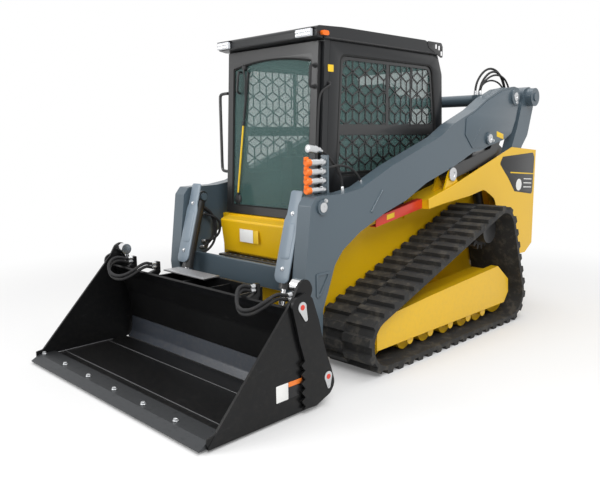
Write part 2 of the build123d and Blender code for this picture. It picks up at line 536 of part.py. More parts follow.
# tilt cylinders: barrel up on the arm, rod down to the coupler
barrel, stem = cylinder_pair(TILT_HEAD, TILT_FOOT, TILT_CYL_Y, 36, 20, 520, 220, 40, 56, (TILT_CYL_Y - EAR_GAP + FACE_GAP, TILT_CYL_Y + EAR_GAP - FACE_GAP))
barrel -= pin_y(TILT_HEAD, 27, TILT_CYL_Y - 40, TILT_CYL_Y + 40)
keep("tilt_barrels", both(barrel), "black")
keep("tilt_rods", both(stem), "chrome")
g0 = toward(TILT_HEAD, TILT_FOOT, -30)
g1 = toward(TILT_HEAD, TILT_FOOT, 480)
ax = atan2(TILT_FOOT[1] - TILT_HEAD[1], TILT_FOOT[0] - TILT_HEAD[0])
nx, nz = -sin(ax), cos(ax)
off0, off1 = 44, 54
guard_rows = [(g0[0] + nx * off0, g0[1] + nz * off0), (g1[0] + nx * off0, g1[1] + nz * off0),
              (g1[0] + nx * off1, g1[1] + nz * off1), (g0[0] + nx * off1, g0[1] + nz * off1)]
cover = along_y(guard_rows, TILT_CYL_Y - 55, TILT_CYL_Y + 60)
for d in (60, 400):
    a = toward(TILT_HEAD, TILT_FOOT, d)
    cover += rod((a[0] + nx * (36 + FACE_GAP), TILT_CYL_Y, a[1] + nz * (36 + FACE_GAP)), (a[0] + nx * 50, TILT_CYL_Y, a[1] + nz * 50), 14)
keep("tilt_guards", both(cover), "light")

# ---------------------------------------------------------------- bucket
coupler = box(COUPLER_X, COUPLER_X + 18, -575, 575, 140, 450) + box(COUPLER_X, COUPLER_X + 18, -435, 435, 440, 590)
coupler -= both(box(COUPLER_X - 5, COUPLER_X + 25, TILT_CYL_Y - EAR_GAP, TILT_CYL_Y + EAR_GAP, 270, 460))
for y0, y1 in ((560, 576), (696, 712)):
    ears = along_y([(COUPLER_X + 18, 140), (COUPLER_X + 18, 390), (1000, 370), (870, 307, 50), (813, 250, 50), (870, 193, 50)], y0, y1)
    coupler += both(ears)
coupler += both(box(COUPLER_X, COUPLER_X + 18, 555, 712, 140, 390))
coupler += both(pin_y(BUCKET_PIN, 28 - FIT, 560, 712))
for y0, y1 in ((-EAR_GAP - PLATE, -EAR_GAP), (EAR_GAP, EAR_GAP + PLATE)):
    coupler += both(along_y([(COUPLER_X + 16, 300), (COUPLER_X + 16, 450), (1000, 424, 50), (946, 370, 50), (1000, 316, 50)], TILT_CYL_Y + y0, TILT_CYL_Y + y1))
for y0, y1 in ((-EAR_GAP - PLATE - 10, -EAR_GAP - 1), (EAR_GAP + 1, EAR_GAP + PLATE + 10)):
    coupler += both(pin_y(TILT_FOOT, 30, TILT_CYL_Y + y0, TILT_CYL_Y + y1))
for y in (-420, -140, 140, 420):
    coupler += along_y([(COUPLER_X + 10, 150), (COUPLER_X + 10, 570), (1275.7, 570), (1234.7, 530, 100), (1169.7, 380, 120),
                        (1139.7, 180, 80), (1142.2, 150)], y - 8, y + 8)
for y in (-560, 560):
    coupler += along_y([(COUPLER_X + 10, 150), (COUPLER_X + 10, 440), (1195.7, 440), (1169.7, 380, 120),
                        (1139.7, 180, 80), (1142.2, 150)], y - 8, y + 8)

mold = [(1195, 18), (1150, 60, 30), (1140, 180, 80), (1170, 380, 120), (1235, 530, 100), (1301, 594),
        (1310, 585), (1245, 522, 100), (1182, 376, 120), (1152, 180, 80), (1162, 66, 30), (1200, 26)]
moldboard = along_y(mold, -MOLD_Y, MOLD_Y)
side_rows = [(1262, 30), (1165, 24, 30), (1050, 66, 60), (1012, 115, 60), (1041, 206, 100), (1077, 293, 100), (1105, 376, 100), (1139, 505, 100), (1190, 640, 40),
             (1250, 675, 40), (1345, 640, 50), (1314, 522), (1289, 420), (1249, 300)]
# serrated lower part of the front edge: one notch per row step
for i in range(NOTCHES):
    z = 292 - i * (292 - 40) / NOTCHES
    side_rows += [(1276, z - 10), (1248, z - 44)]
side_plate = along_y(side_rows, BUCKET_Y - SIDE_T, BUCKET_Y)
hinge_ear = along_y([(1228, 508), (1216, 585), (1225, 620, 30), (1265, 650, 30), (1310, 600, 30), (1262, 520)], MOLD_Y - 24, MOLD_Y - 8)
moldboard += both(side_plate + pin_y(CLAM_PIN, 24 - FIT, MOLD_Y - 24, BUCKET_Y - 2))
moldboard += both(hinge_ear)
moldboard += both(box(1100, 1148, MOLD_Y - 6, BUCKET_Y - SIDE_T + 3, 130, 250))
moldboard += both(box(1130, 1170, MOLD_Y - 6, BUCKET_Y - SIDE_T + 3, 400, 470))
moldboard += both(pin_y(CLAM_FOOT, 24 - FIT, CLAM_CYL_Y - 40, BUCKET_Y - 2))
keep("coupler", coupler, "black")
keep("moldboard", moldboard, "black")
step_plate = box(COUPLER_X, 1190, -435, 20, 590 + FACE_GAP, 600)
keep("step_plate", step_plate, "light")

clam_rows = [(1212, 32), (1212, 280), (1230, 420, 100), (1225, 540, 40), (1160, 680, 46), (1200, 748, 44), (1262, 722, 46), (1305, 650, 40), (1330, 628, 30), (1345, 606, 20), (1880, 32)]
clam_side = along_y(clam_rows, CLAM_Y - SIDE_T, CLAM_Y)
clam_side -= pin_y(CLAM_PIN, 24, CLAM_Y - SIDE_T - 2, CLAM_Y + 2)
clam = both(clam_side)
clam += along_y([(1212, 14), (1212, 30), (1800, 30), (1800, 14)], -CLAM_Y, CLAM_Y)
clam += both(box(1212, 1880, CLAM_Y - SIDE_T, CLAM_Y, 14, 33))
keep("clam_shell", clam, "black")
edge = along_y([(1760, 50), (1870, 50), (LIP_X, 20), (LIP_X, 14), (1800 + FACE_GAP, 14), (1800 + FACE_GAP, 30 + FACE_GAP), (1760, 30 + FACE_GAP)], -CLAM_Y + SIDE_T + 1, CLAM_Y - SIDE_T - 1)
keep("cutting_edge", edge, "steel")
barrel, stem = cylinder_pair(CLAM_FOOT, CLAM_HEAD, CLAM_CYL_Y, 32, 17, 420, 330, 38, 50, (CLAM_CYL_Y - 25, CLAM_Y - SIDE_T - FACE_GAP))
barrel -= pin_y(CLAM_FOOT, 24, CLAM_CYL_Y - 40, CLAM_CYL_Y + 40)
keep("clam_barrels", both(barrel), "black")
keep("clam_rods", both(stem), "chrome")

# ---------------------------------------------------------------- export
for name, (shape, colour) in GROUPS.items():
    shape.label = name
    export_step(shape, "parts/" + name + ".step")
    print(name, len(shape.solids()), round(shape.volume / 1e6, 2), [round(v) for v in (*shape.bounding_box().min, *shape.bounding_box().max)])
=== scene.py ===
# %% [markdown]
# # A compact track loader, dressed for its picture
# The machine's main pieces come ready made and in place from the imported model. This lesson gives them their
# paints, rubber, glass and steel, builds the hoses, cushions, guards and trim that the model leaves out,
# and lights the whole. Everything is in metres: +X is forward, +Y is the machine's left and +Z is up.

# %% Load the frame
import json
from math import atan2, cos, hypot, pi, radians, sin, sqrt, tan

import bmesh
import bpy
from mathutils import Matrix, Vector

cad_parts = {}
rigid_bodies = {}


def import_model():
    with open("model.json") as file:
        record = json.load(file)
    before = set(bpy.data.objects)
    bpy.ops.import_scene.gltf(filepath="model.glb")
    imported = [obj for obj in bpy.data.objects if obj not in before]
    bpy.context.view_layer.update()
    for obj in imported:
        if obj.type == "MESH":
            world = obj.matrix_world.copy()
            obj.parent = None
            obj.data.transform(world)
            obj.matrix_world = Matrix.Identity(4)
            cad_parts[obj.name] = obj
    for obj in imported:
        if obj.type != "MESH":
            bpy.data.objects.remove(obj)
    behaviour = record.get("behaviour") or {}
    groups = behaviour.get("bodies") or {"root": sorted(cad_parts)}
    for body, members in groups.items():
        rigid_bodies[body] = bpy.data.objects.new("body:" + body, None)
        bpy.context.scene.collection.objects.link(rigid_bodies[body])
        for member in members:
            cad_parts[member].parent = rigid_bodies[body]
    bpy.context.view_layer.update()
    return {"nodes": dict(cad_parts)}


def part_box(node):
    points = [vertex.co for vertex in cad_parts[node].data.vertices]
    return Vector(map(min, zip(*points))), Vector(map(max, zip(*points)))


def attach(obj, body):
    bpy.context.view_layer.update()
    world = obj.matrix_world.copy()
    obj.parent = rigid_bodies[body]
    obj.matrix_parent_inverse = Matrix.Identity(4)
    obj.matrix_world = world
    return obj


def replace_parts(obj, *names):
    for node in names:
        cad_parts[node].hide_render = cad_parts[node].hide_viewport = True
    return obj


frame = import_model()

# %% [markdown]
# ## The camera
# A three-quarter view from the machine's front left, at about a standing person's eye level and close
# enough that the bucket looks larger than the tail. A lens of about 39 mm on a 36 mm sensor gives that
# perspective. The camera is built from three angles, so that each can be changed by itself.

# %% Camera
HEADING, LOOK_DOWN, ROLL = radians(44.481), radians(9.627), radians(-0.555)
EYE = Vector((3.600, 3.331, 1.475))
FOCAL_WIDTHS = 1.08684              # focal length in picture widths
SENSOR = 36.0                       # mm
SHIFT = (-0.0164, 0.0038)
ahead = Vector((-cos(HEADING) * cos(LOOK_DOWN), -sin(HEADING) * cos(LOOK_DOWN), -sin(LOOK_DOWN)))
side = Vector((-sin(HEADING), cos(HEADING), 0.0))
lens_up = side.cross(ahead)
right = side * cos(ROLL) + lens_up * sin(ROLL)
up = lens_up * cos(ROLL) - side * sin(ROLL)

camera = bpy.data.objects.new("camera", bpy.data.cameras.new("camera"))
bpy.context.scene.collection.objects.link(camera)
turn = Matrix((right, up, -ahead)).transposed().to_4x4()
camera.matrix_world = Matrix.Translation(EYE) @ turn
camera.data.sensor_width = SENSOR
camera.data.lens = SENSOR * FOCAL_WIDTHS
camera.data.shift_x, camera.data.shift_y = SHIFT
camera.data.clip_end = 200.0
bpy.context.scene.camera = camera
bpy.context.scene.view_settings.view_transform = "Standard"
print("lens", round(camera.data.lens, 1), "mm, eye at", [round(v, 2) for v in EYE])

# %% [markdown]
# ## Writing shaders as sums
# A material is a small sum of noises, masks and colours. Dozens of node lines would hide that sum, so one
# class wraps an output socket and lets Python's own operators add the Math nodes. A Math node would turn a
# colour grey, so colours are blended by a Mix node instead. Any other node comes from the method `add`.

# %% Wires and finishes
class Wire:
    """An output socket that + and * can join to numbers or to other wires."""

    def __init__(self, finish, socket):
        self.finish, self.socket = finish, socket

    def sums(self, operation, first, second):
        return self.finish.add("ShaderNodeMath", {"operation": operation}, {0: first, 1: second})

    def __add__(self, other):
        return self.sums("ADD", self, other)

    def __radd__(self, other):
        return self.sums("ADD", other, self)

    def __mul__(self, other):
        return self.sums("MULTIPLY", self, other)

    def __rmul__(self, other):
        return self.sums("MULTIPLY", other, self)

    def band(self, low, high):
        """0 below low, 1 above high and smooth between, or the reverse where low is the larger."""
        links = {"Value": self, "From Min": low, "From Max": high, "To Min": 0.0, "To Max": 1.0}
        return self.finish.add("ShaderNodeMapRange", {"interpolation_type": "SMOOTHSTEP"}, links)


class Finish:
    """A material whose nodes are written as expressions."""

    def __init__(self, name, **settings):
        self.material = bpy.data.materials.new(name)
        self.material.use_nodes = True
        self.tree = self.material.node_tree
        self.shader = self.tree.nodes["Principled BSDF"]
        self.set(**settings)

    def plug(self, socket, value):
        if isinstance(value, Wire):
            self.tree.links.new(value.socket, socket)
        elif isinstance(value, (tuple, list)) and len(value) == 3 and len(socket.default_value) == 4:
            socket.default_value = (*value, 1.0)
        else:
            socket.default_value = value

    def add(self, kind, settings=None, links=None, out=0):
        """One node: its settings first, then the values or wires of its sockets."""
        node = self.tree.nodes.new(kind)
        for name, value in (settings or {}).items():
            setattr(node, name, value)
        for name, value in (links or {}).items():
            self.plug(node.inputs[name], value)
        return Wire(self, node.outputs[out])

    def set(self, **values):
        """Principled sockets by name, with _ for a space."""
        for name, value in values.items():
            self.plug(self.shader.inputs[name.replace("_", " ").title().replace("Ior", "IOR")], value)
        return self

    def place(self):
        """The point on the piece, in the machine's own metres."""
        return self.add("ShaderNodeTexCoord", out="Object")

    def axis(self, letter):
        return self.add("ShaderNodeSeparateXYZ", links={0: self.place()}, out="XYZ".index(letter))

    def noise(self, scale, detail=3.0, roughness=0.55, stretch=None):
        where = self.place()
        if stretch:
            where = self.add("ShaderNodeVectorMath", {"operation": "MULTIPLY"}, {0: where, 1: stretch})
        links = {"Vector": where, "Scale": scale, "Detail": detail, "Roughness": roughness}
        return self.add("ShaderNodeTexNoise", links=links)

    def mix(self, amount, first, second):
        """Colours: first at 0, second at 1."""
        links = {"Factor": amount, 6: first, 7: second}
        return self.add("ShaderNodeMix", {"data_type": "RGBA"}, links, out=2)

    def bump(self, height, distance, strength=1.0):
        links = {"Height": height, "Distance": distance, "Strength": strength}
        return self.set(normal=self.add("ShaderNodeBump", links=links))


def shade(colour, factor):
    return tuple(channel * factor for channel in colour)


print("Wire and Finish are ready")

# %% [markdown]
# ## Sprayed paint
# Most of the machine is steel under sprayed enamel. Real spray is never one flat colour: it dries with a
# fine orange-peel ripple, drifts a little in tone over a large plate, and dulls where dust settles low down
# and on faces that look up. One function makes every paint, and its arguments say how glossy, dusty and
# worn each one is.

# %% Paint
DUST = (0.19, 0.165, 0.13)
BARE = (0.16, 0.16, 0.165)
STREAKS = (1.0, 1.0, 3.0)           # scuffs run level, so their noise is squeezed in height


def paint(name, colour, gloss=0.35, coat=0.25, dust=0.25, wear=0.0, tone=0.12, shine=0.5):
    """Enamel: gloss is its roughness, wear the share rubbed bare, tone the drift over a large plate."""
    f = Finish(name, specular_ior_level=shine, coat_roughness=0.12)
    drift = f.noise(1.7, 2.0)
    speck = f.noise(34.0, 4.0, 0.65)
    base = f.mix(drift, shade(colour, 1.0 - tone), shade(colour, 1.0 + tone))
    face_up = f.add("ShaderNodeSeparateXYZ", links={0: f.add("ShaderNodeNewGeometry", out="Normal")}, out=2)
    low_down = f.axis("Z").band(1.0, 0.05)
    settled = (face_up.band(0.3, 1.0) * 0.5 + low_down * 0.6) * speck.band(0.42, 0.72) * dust
    base = f.mix(settled, base, DUST)
    if wear:
        scuff = f.noise(9.0, 5.0, 0.7, stretch=STREAKS).band(0.60, 0.78) * wear
        base = f.mix(scuff, base, BARE)
        settled = settled + scuff * 0.6
    f.set(base_color=base, roughness=gloss + settled * 0.5 + drift * 0.06, coat_weight=coat)
    f.bump(f.noise(420.0, 1.0), 0.0003, 0.25)
    return f.material


print("sprayed paint is ready")

# %% [markdown]
# ## The machine's own colours
# Chassis and tracks' frames are yellow, the arms slate, the cab charcoal and the bucket black. The colours
# are linear values, in which a mid grey is about 0.2, so they look darker as numbers than they do on the
# steel.

# %% Paint colours
YELLOW = (0.76, 0.455, 0.004)
SLATE = (0.064, 0.092, 0.114)
PALE_SLATE = (0.165, 0.213, 0.260)
BLACK = (0.0095, 0.0098, 0.0105)
CHARCOAL = (0.024, 0.026, 0.029)
yellow_paint = paint("yellow_paint", YELLOW, gloss=0.30, coat=0.20, dust=0.14, tone=0.06, shine=0.35)
slate_paint = paint("slate_paint", SLATE, gloss=0.36, dust=0.20, tone=0.07)
guard_paint = paint("guard_paint", PALE_SLATE, gloss=0.38, dust=0.15, tone=0.06)
bucket_paint = paint("bucket_paint", shade(BLACK, 0.62), gloss=0.26, coat=0.04, dust=0.04, wear=0.10, tone=0.2,
                     shine=0.20)
blade_paint = paint("blade_paint", (0.035, 0.042, 0.055), gloss=0.40, coat=0.1, dust=0.2, wear=0.2)
black_paint = paint("black_paint", (0.014, 0.0143, 0.015), gloss=0.40, dust=0.3, tone=0.15)
cab_paint = paint("cab_paint", shade(CHARCOAL, 0.45), gloss=0.28, coat=0.12, dust=0.06, tone=0.12, shine=0.32)
red_paint = paint("red_paint", (0.62, 0.030, 0.010), gloss=0.35, coat=0.2, dust=0.2)
print("paints:", len(bpy.data.materials))

# %% [markdown]
# ## Rubber
# Tracks, hoses and seals are black rubber, which is never quite black: soil dries brown in its hollows and
# fine chalk greys it. Two noises do both, a coarse one for the soil and a fine one for the chalk.

# %% Rubber
def rubber(name, clean=(0.020, 0.020, 0.020), soil_colour=(0.085, 0.076, 0.062), soiled=0.55, grain=0.0025):
    f = Finish(name, specular_ior_level=0.35)
    soil = f.noise(14.0, 5.0, 0.65)
    fine = f.noise(160.0, 3.0, 0.6)
    base = f.mix(soil.band(0.48, 0.66) * soiled, clean, soil_colour)
    base = f.mix(fine.band(0.5, 0.8) * 0.3, base, shade(clean, 2.6))
    f.set(base_color=base, roughness=0.62 + soil * 0.2)
    f.bump(fine * 0.6 + soil, grain, 0.6)
    return f.material


track_rubber = rubber("track_rubber")
hose_rubber = rubber("hose_rubber", (0.014, 0.014, 0.015), (0.05, 0.047, 0.04), 0.25, 0.0006)
gasket_rubber = rubber("gasket_rubber", (0.009, 0.009, 0.009), (0.03, 0.03, 0.028), 0.2, 0.0004)
print("rubbers:", track_rubber.name, hose_rubber.name, gasket_rubber.name)

# %% [markdown]
# ## Steel
# Cylinder rods are hard chrome, pins and bolts are zinc plated, and the cutting edge is dark steel that the
# ground keeps scouring. They share one recipe, a metal with fine streaks, and differ by colour, roughness,
# grain and dirt.

# %% Steel
def metal(name, colour, rough, grain=40.0, dirt=0.2):
    f = Finish(name, metallic=1.0)
    streak = f.noise(grain, 3.0, 0.6, stretch=(1.0, 1.0, 6.0))
    f.set(base_color=f.mix(streak.band(0.5, 0.8) * dirt, colour, shade(colour, 0.55)))
    f.set(roughness=rough + streak * 0.12)
    f.bump(streak, 0.0003, 0.3)
    return f.material


chrome = metal("chrome", (0.82, 0.82, 0.83), 0.12, dirt=0.1)
zinc = metal("zinc", (0.62, 0.63, 0.64), 0.28, grain=90.0)
bare_steel = metal("bare_steel", (0.46, 0.46, 0.47), 0.34)
edge_steel = metal("edge_steel", (0.075, 0.078, 0.082), 0.42, grain=18.0, dirt=0.5)
weld_steel = metal("weld_steel", (0.14, 0.14, 0.145), 0.5, grain=120.0, dirt=0.6)
cast_iron = metal("cast_iron", (0.11, 0.11, 0.11), 0.6, grain=70.0)
print("metals:", chrome.name, zinc.name, bare_steel.name, edge_steel.name, weld_steel.name, cast_iron.name)

# %% [markdown]
# ## Glass, plastic, lamps and film
# The panes are thin tinted sheets: a little green of their own, mostly see-through, with a clear gloss.
# Plastic is moulded with a fine grain. Lamps are the same plastic, with a glow where they are lit, and
# labels the same again as smooth vinyl film.

# %% Glass and plastic
def glass(name, colour, solid):
    f = Finish(name, specular_ior_level=0.5, roughness=0.03)
    haze = f.noise(2.2, 2.0)
    f.set(base_color=f.mix(haze, shade(colour, 0.85), shade(colour, 1.15)), alpha=solid + haze * 0.08)
    return f.material


def plastic(name, colour, rough=0.5, grain=300.0, depth=0.0004, glow=0.0):
    f = Finish(name, specular_ior_level=0.4, emission_strength=glow)
    colours = f.mix(f.noise(5.0), shade(colour, 0.88), shade(colour, 1.12))
    f.set(base_color=colours, roughness=rough)
    if glow:
        f.set(emission_color=colours)
    f.bump(f.noise(grain, 2.0), depth, 0.5)
    return f.material


window_glass = glass("window_glass", (0.10, 0.19, 0.18), 0.30)
seat_vinyl = plastic("seat_vinyl", (0.075, 0.078, 0.085), 0.55, grain=500.0)
black_plastic = plastic("black_plastic", (0.016, 0.016, 0.017), 0.45)
orange_plastic = plastic("orange_plastic", (0.83, 0.17, 0.012), 0.38, grain=120.0)
lamp_lens = plastic("lamp_lens", (0.62, 0.64, 0.67), 0.15, grain=60.0)
led_white = plastic("led_white", (0.92, 0.94, 0.97), 0.15, grain=60.0, glow=0.4)
cab_light = plastic("cab_light", (1.0, 0.45, 0.12), 0.3, glow=2.0)
orange_lens = plastic("orange_lens", (0.85, 0.16, 0.01), 0.2, grain=90.0)
white_film = plastic("white_film", (0.78, 0.78, 0.76), 0.4, grain=25.0, depth=0.0002)
yellow_film = plastic("yellow_film", (0.80, 0.52, 0.02), 0.4, grain=25.0, depth=0.0002)
orange_film = plastic("orange_film", (0.80, 0.20, 0.03), 0.4, grain=25.0, depth=0.0002)
black_film = plastic("black_film", (0.012, 0.012, 0.013), 0.35, grain=25.0, depth=0.0002)
print("finishes:", len(bpy.data.materials))

# %% [markdown]
# ## Which piece gets which finish
# A table reads better than an assignment for each of 47 pieces: each finish names the pieces that wear it.

# %% Dress the ready-made pieces
DRESS = {
    yellow_paint: "main_frame engine_bay tail_frame rear_towers arm_brackets side_panels front_panel"
                  " track_frames idlers rollers",
    slate_paint: "lift_arm rear_links",
    guard_paint: "tilt_guards",
    bucket_paint: "moldboard clam_shell coupler",
    black_paint: "step_bar sprockets drive_motors engine_hood exhaust_box rear_door window_guards grab_rail"
                 " lift_barrels tilt_barrels clam_barrels control_links cab_door",
    cab_paint: "cab_frame cab_sides cab_rear cab_roof",
    track_rubber: "tracks",
    chrome: "lift_rods tilt_rods clam_rods",
    bare_steel: "step_plate",
    edge_steel: "cutting_edge",
    cast_iron: "engine_block",
    window_glass: "side_glass rear_glass door_glass",
    black_plastic: "controls",
    seat_vinyl: "seat",
    lamp_lens: "work_lamps",
    orange_lens: "marker_lamp",
}
for material, names in DRESS.items():
    for name in names.split():
        mesh = frame["nodes"][name].data
        mesh.materials.clear()
        mesh.materials.append(material)
bare = [name for name in frame["nodes"] if not any(name in names.split() for names in DRESS.values())]
print("without a finish:", bare)

# %% [markdown]
# ## A small workshop
# Nearly everything still to make is a cut plate with softened edges, a turned part or a bent bar. Blender's
# 2-D curves fill an outline with its holes, give it thickness and bevel its edges in one go, which suits
# plates. Turned parts are rings of points skinned one to the next, and bars are curves with a round
# section. First come the outlines, with rounded corners, and the planes on which they are drawn.

# %% Outlines and drawing planes
def rounded(rows, steps=5):
    """Outline points from rows (u, v) or (u, v, corner radius)."""
    points = []
    for i, (u, v, *more) in enumerate(rows):
        radius = more[0] if more else 0.0
        if radius <= 0.0:
            points.append((u, v))
            continue
        here = Vector((u, v))
        before = (Vector(rows[i - 1][:2]) - here).normalized()
        after = (Vector(rows[(i + 1) % len(rows)][:2]) - here).normalized()
        half = before.angle(after) / 2
        reach = radius / tan(half)
        centre = here + (before + after).normalized() * radius / sin(half)
        first = here + before * reach - centre
        turn = (pi - 2 * half) * (1 if before.x * after.y - before.y * after.x < 0 else -1)
        for k in range(steps + 1):
            points.append(tuple(centre + Matrix.Rotation(turn * k / steps, 2) @ first))
    return points


def drawing(origin, u, v):
    """Matrix that lays a flat (u, v) drawing down in space."""
    u, v = Vector(u).normalized(), Vector(v).normalized()
    return Matrix.Translation(origin) @ Matrix((u, v, u.cross(v))).transposed().to_4x4()


def side_view(y):
    """Drawing in x and z, at a distance y from the centre plane."""
    return drawing((0, y, 0), (1, 0, 0), (0, 0, 1))


def front_view(x):
    """Drawing in y and z, at a distance x from the origin."""
    return drawing((x, 0, 0), (0, 1, 0), (0, 0, 1))


def top_view(z):
    return Matrix.Translation((0, 0, z))


def oblong(u0, u1, v0, v1, r=0.0):
    """Rows of a rectangle whose corners have the radius r."""
    return [(u0, v0, r), (u1, v0, r), (u1, v1, r), (u0, v1, r)]


print("outlines and drawing planes are ready")

# %% [markdown]
# ## The shop
# Each method that adds something returns the shop itself, so a part can be written as one chain.

# %% Shop
class Shop:
    """Collects plates, turned parts and bars in one mesh."""

    def __init__(self):
        self.mesh = bmesh.new()

    def add(self, curve, matrix=Matrix.Identity(4)):
        holder = bpy.data.objects.new("template", curve)
        made = bpy.data.meshes.new_from_object(holder)
        made.transform(matrix)
        self.mesh.from_mesh(made)
        for block, store in ((holder, bpy.data.objects), (curve, bpy.data.curves), (made, bpy.data.meshes)):
            store.remove(block)
        return self

    def plate(self, rows, matrix, thick, holes=(), edge=0.0012):
        """Plate centred on the drawing's plane, with softened edges."""
        curve = bpy.data.curves.new("plate", "CURVE")
        curve.dimensions, curve.fill_mode = "2D", "BOTH"
        curve.extrude, curve.bevel_depth, curve.bevel_resolution = thick / 2 - edge, edge, 1
        curve.offset = -edge
        for loop in (rows, *holes):
            points = rounded(loop)
            spline = curve.splines.new("POLY")
            spline.points.add(len(points) - 1)
            spline.use_cyclic_u = True
            for point, place in zip(spline.points, points):
                point.co = (*place, 0.0, 1.0)
        return self.add(curve, matrix)

    def block(self, low, high, edge=0.002):
        (x0, y0, z0), (x1, y1, z1) = low, high
        return self.plate(oblong(x0, x1, y0, y1), top_view((z0 + z1) / 2), z1 - z0, edge=edge)

    def bar(self, points, radius, smooth=False):
        """Round bar through the points, straight between them or, if smooth, curving by them."""
        curve = bpy.data.curves.new("bar", "CURVE")
        curve.dimensions, curve.bevel_depth, curve.bevel_resolution = "3D", radius, 3
        curve.use_fill_caps = True
        spline = curve.splines.new("NURBS" if smooth else "POLY")
        spline.points.add(len(points) - 1)
        for point, place in zip(spline.points, points):
            point.co = (*place, 1.0)
        if smooth:
            spline.order_u, spline.use_endpoint_u, spline.resolution_u = 3, True, 6
        return self.add(curve)

    def turned(self, foot, axis, profile, steps=20):
        """Turned part from rows (distance along the axis, radius)."""
        foot, axis = Vector(foot), Vector(axis).normalized()
        u = axis.orthogonal().normalized()
        v = axis.cross(u)
        angles = [2 * pi * k / steps for k in range(steps)]
        rings = [[self.mesh.verts.new(foot + axis * d + (u * cos(a) + v * sin(a)) * r) for a in angles]
                 for d, r in profile]
        for low, high in zip(rings, rings[1:]):
            for k in range(steps):
                after = (k + 1) % steps
                self.mesh.faces.new((low[k], low[after], high[after], high[k]))
        self.mesh.faces.new(rings[0][::-1])
        self.mesh.faces.new(rings[-1])
        return self

    def bolt(self, place, axis, size):
        """Hexagon head on a washer, size across its corners."""
        washer = [(0, size * 0.66), (size * 0.10, size * 0.66), (size * 0.13, size * 0.62)]
        head = [(0, size * 0.5), (size * 0.38, size * 0.5), (size * 0.44, size * 0.4)]
        self.turned(place, axis, washer, 16)
        return self.turned(Vector(place) + Vector(axis).normalized() * size * 0.13, axis, head, 6)

    def mirrored(self):
        """Adds the mirror image on the machine's other side."""
        twin = bmesh.ops.duplicate(self.mesh, geom=self.mesh.verts[:] + self.mesh.edges[:] + self.mesh.faces[:])
        for item in twin["geom"]:
            if isinstance(item, bmesh.types.BMVert):
                item.co.y = -item.co.y
        return self

    def done(self, name, material, body, slot=None, crease=35.0):
        """The finished piece, shaded smooth up to the crease angle and riding on a body."""
        bmesh.ops.remove_doubles(self.mesh, verts=self.mesh.verts, dist=1e-6)
        bmesh.ops.recalc_face_normals(self.mesh, faces=self.mesh.faces)
        mesh = bpy.data.meshes.new(name)
        self.mesh.to_mesh(mesh)
        self.mesh.free()
        mesh.shade_smooth()
        mesh.set_sharp_from_angle(angle=radians(crease))
        mesh.materials.append(material)
        piece = bpy.data.objects.new(name, mesh)
        bpy.context.scene.collection.objects.link(piece)
        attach(piece, body)
        print(name, "faces:", len(mesh.polygons))
        return piece


print("the shop is open")

# %% [markdown]
# ## Hoses
# A hydraulic hose is stiff: it leaves its fitting straight and takes one wide curve to the next. A NURBS
# spline through few control points gives just that. Each hose's length is measured along its curve and kept,
# and it wears a crimped steel ferrule at either end, drawn here as a turned part along the hose's own direction.

# %% A hose
hose_lengths = {}


def hose(name, route, diameter, body):
    """Hose along the control points of route, its length kept, with a ferrule at each end."""
    curve = bpy.data.curves.new(name, "CURVE")
    curve.dimensions = "3D"
    spline = curve.splines.new("NURBS")
    spline.points.add(len(route) - 1)
    for point, place in zip(spline.points, route):
        point.co = (*place, 1.0)
    spline.order_u, spline.use_endpoint_u, spline.resolution_u = 3, True, 12
    piece = bpy.data.objects.new(name, curve)
    line = [vertex.co.copy() for vertex in bpy.data.meshes.new_from_object(piece).vertices]
    length = sum((b - a).length for a, b in zip(line, line[1:]))
    curve.bevel_depth, curve.bevel_resolution, curve.use_fill_caps = diameter / 2, 3, True
    curve.materials.append(hose_rubber)
    bpy.context.scene.collection.objects.link(piece)
    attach(piece, body)
    ferrules = Shop()
    r = diameter / 2
    crimp = [(0, r * 1.1), (0.002, r * 1.35), (0.012, r * 1.35), (0.013, r * 1.22), (0.030, r * 1.22),
             (0.032, r * 1.05)]
    for end, inward in ((line[0], line[1] - line[0]), (line[-1], line[-2] - line[-1])):
        ferrules.turned(end, inward, crimp, 16)
    ends = ferrules.done(name + "_ferrules", zinc, body, "bare_steel")
    hose_lengths[name] = round(length, 3)


print("the hose bench is ready")

# %% [markdown]
# ## Hoses over the arm's tail
# Four hoses carry oil past the arm's rear joint in tall arches, so that they can follow it without kinking.
# The arch is one table of shares of its span and its height, used four times with different rises.

# %% Hoses over the arm's tail
PORT_FRONT, PORT_BACK, PORT_TOP = -1.180, -1.655, 1.800
TAIL_HOSES = (          # y, how far the arch rises, how far it leans back, diameter
    (0.518, 0.226, 0.00, 0.018),
    (0.541, 0.200, -0.012, 0.018),
    (0.563, 0.172, -0.020, 0.016),
    (0.533, 0.128, 0.004, 0.014),
)
ARCH = ((0.0, 0.0), (0.0, 0.30), (0.13, 0.67), (0.34, 0.94), (0.57, 1.0), (0.80, 0.85), (0.95, 0.53),
        (1.0, 0.25), (1.0, 0.0))
for i, (y, rise, lean, diameter) in enumerate(TAIL_HOSES):
    front, back = PORT_FRONT - 0.03 * (i % 2), PORT_BACK + 0.03 * (i % 2)
    span = front - back
    route = [(front - span * u + lean * sin(pi * u), y, PORT_TOP + rise * v) for u, v in ARCH]
    hose("tail_hose_%d" % (i + 1), route, diameter, "lift_arm")
ports = Shop()
PORT_HALF, PORT_FOOT = 0.034, PORT_TOP - 0.075
for x in (PORT_FRONT - 0.015, PORT_BACK + 0.015):
    back, front = x - PORT_HALF, x + PORT_HALF
    rows = [(back, PORT_FOOT, 0.008), (front, PORT_FOOT, 0.008), (front, PORT_TOP, 0.004),
            (back, PORT_TOP, 0.004)]
    ports.plate(rows, side_view(0.5415), 0.082, edge=0.003)
ports.done("hose_ports", slate_paint, "lift_arm", "slate_paint")
print("lengths:", hose_lengths)

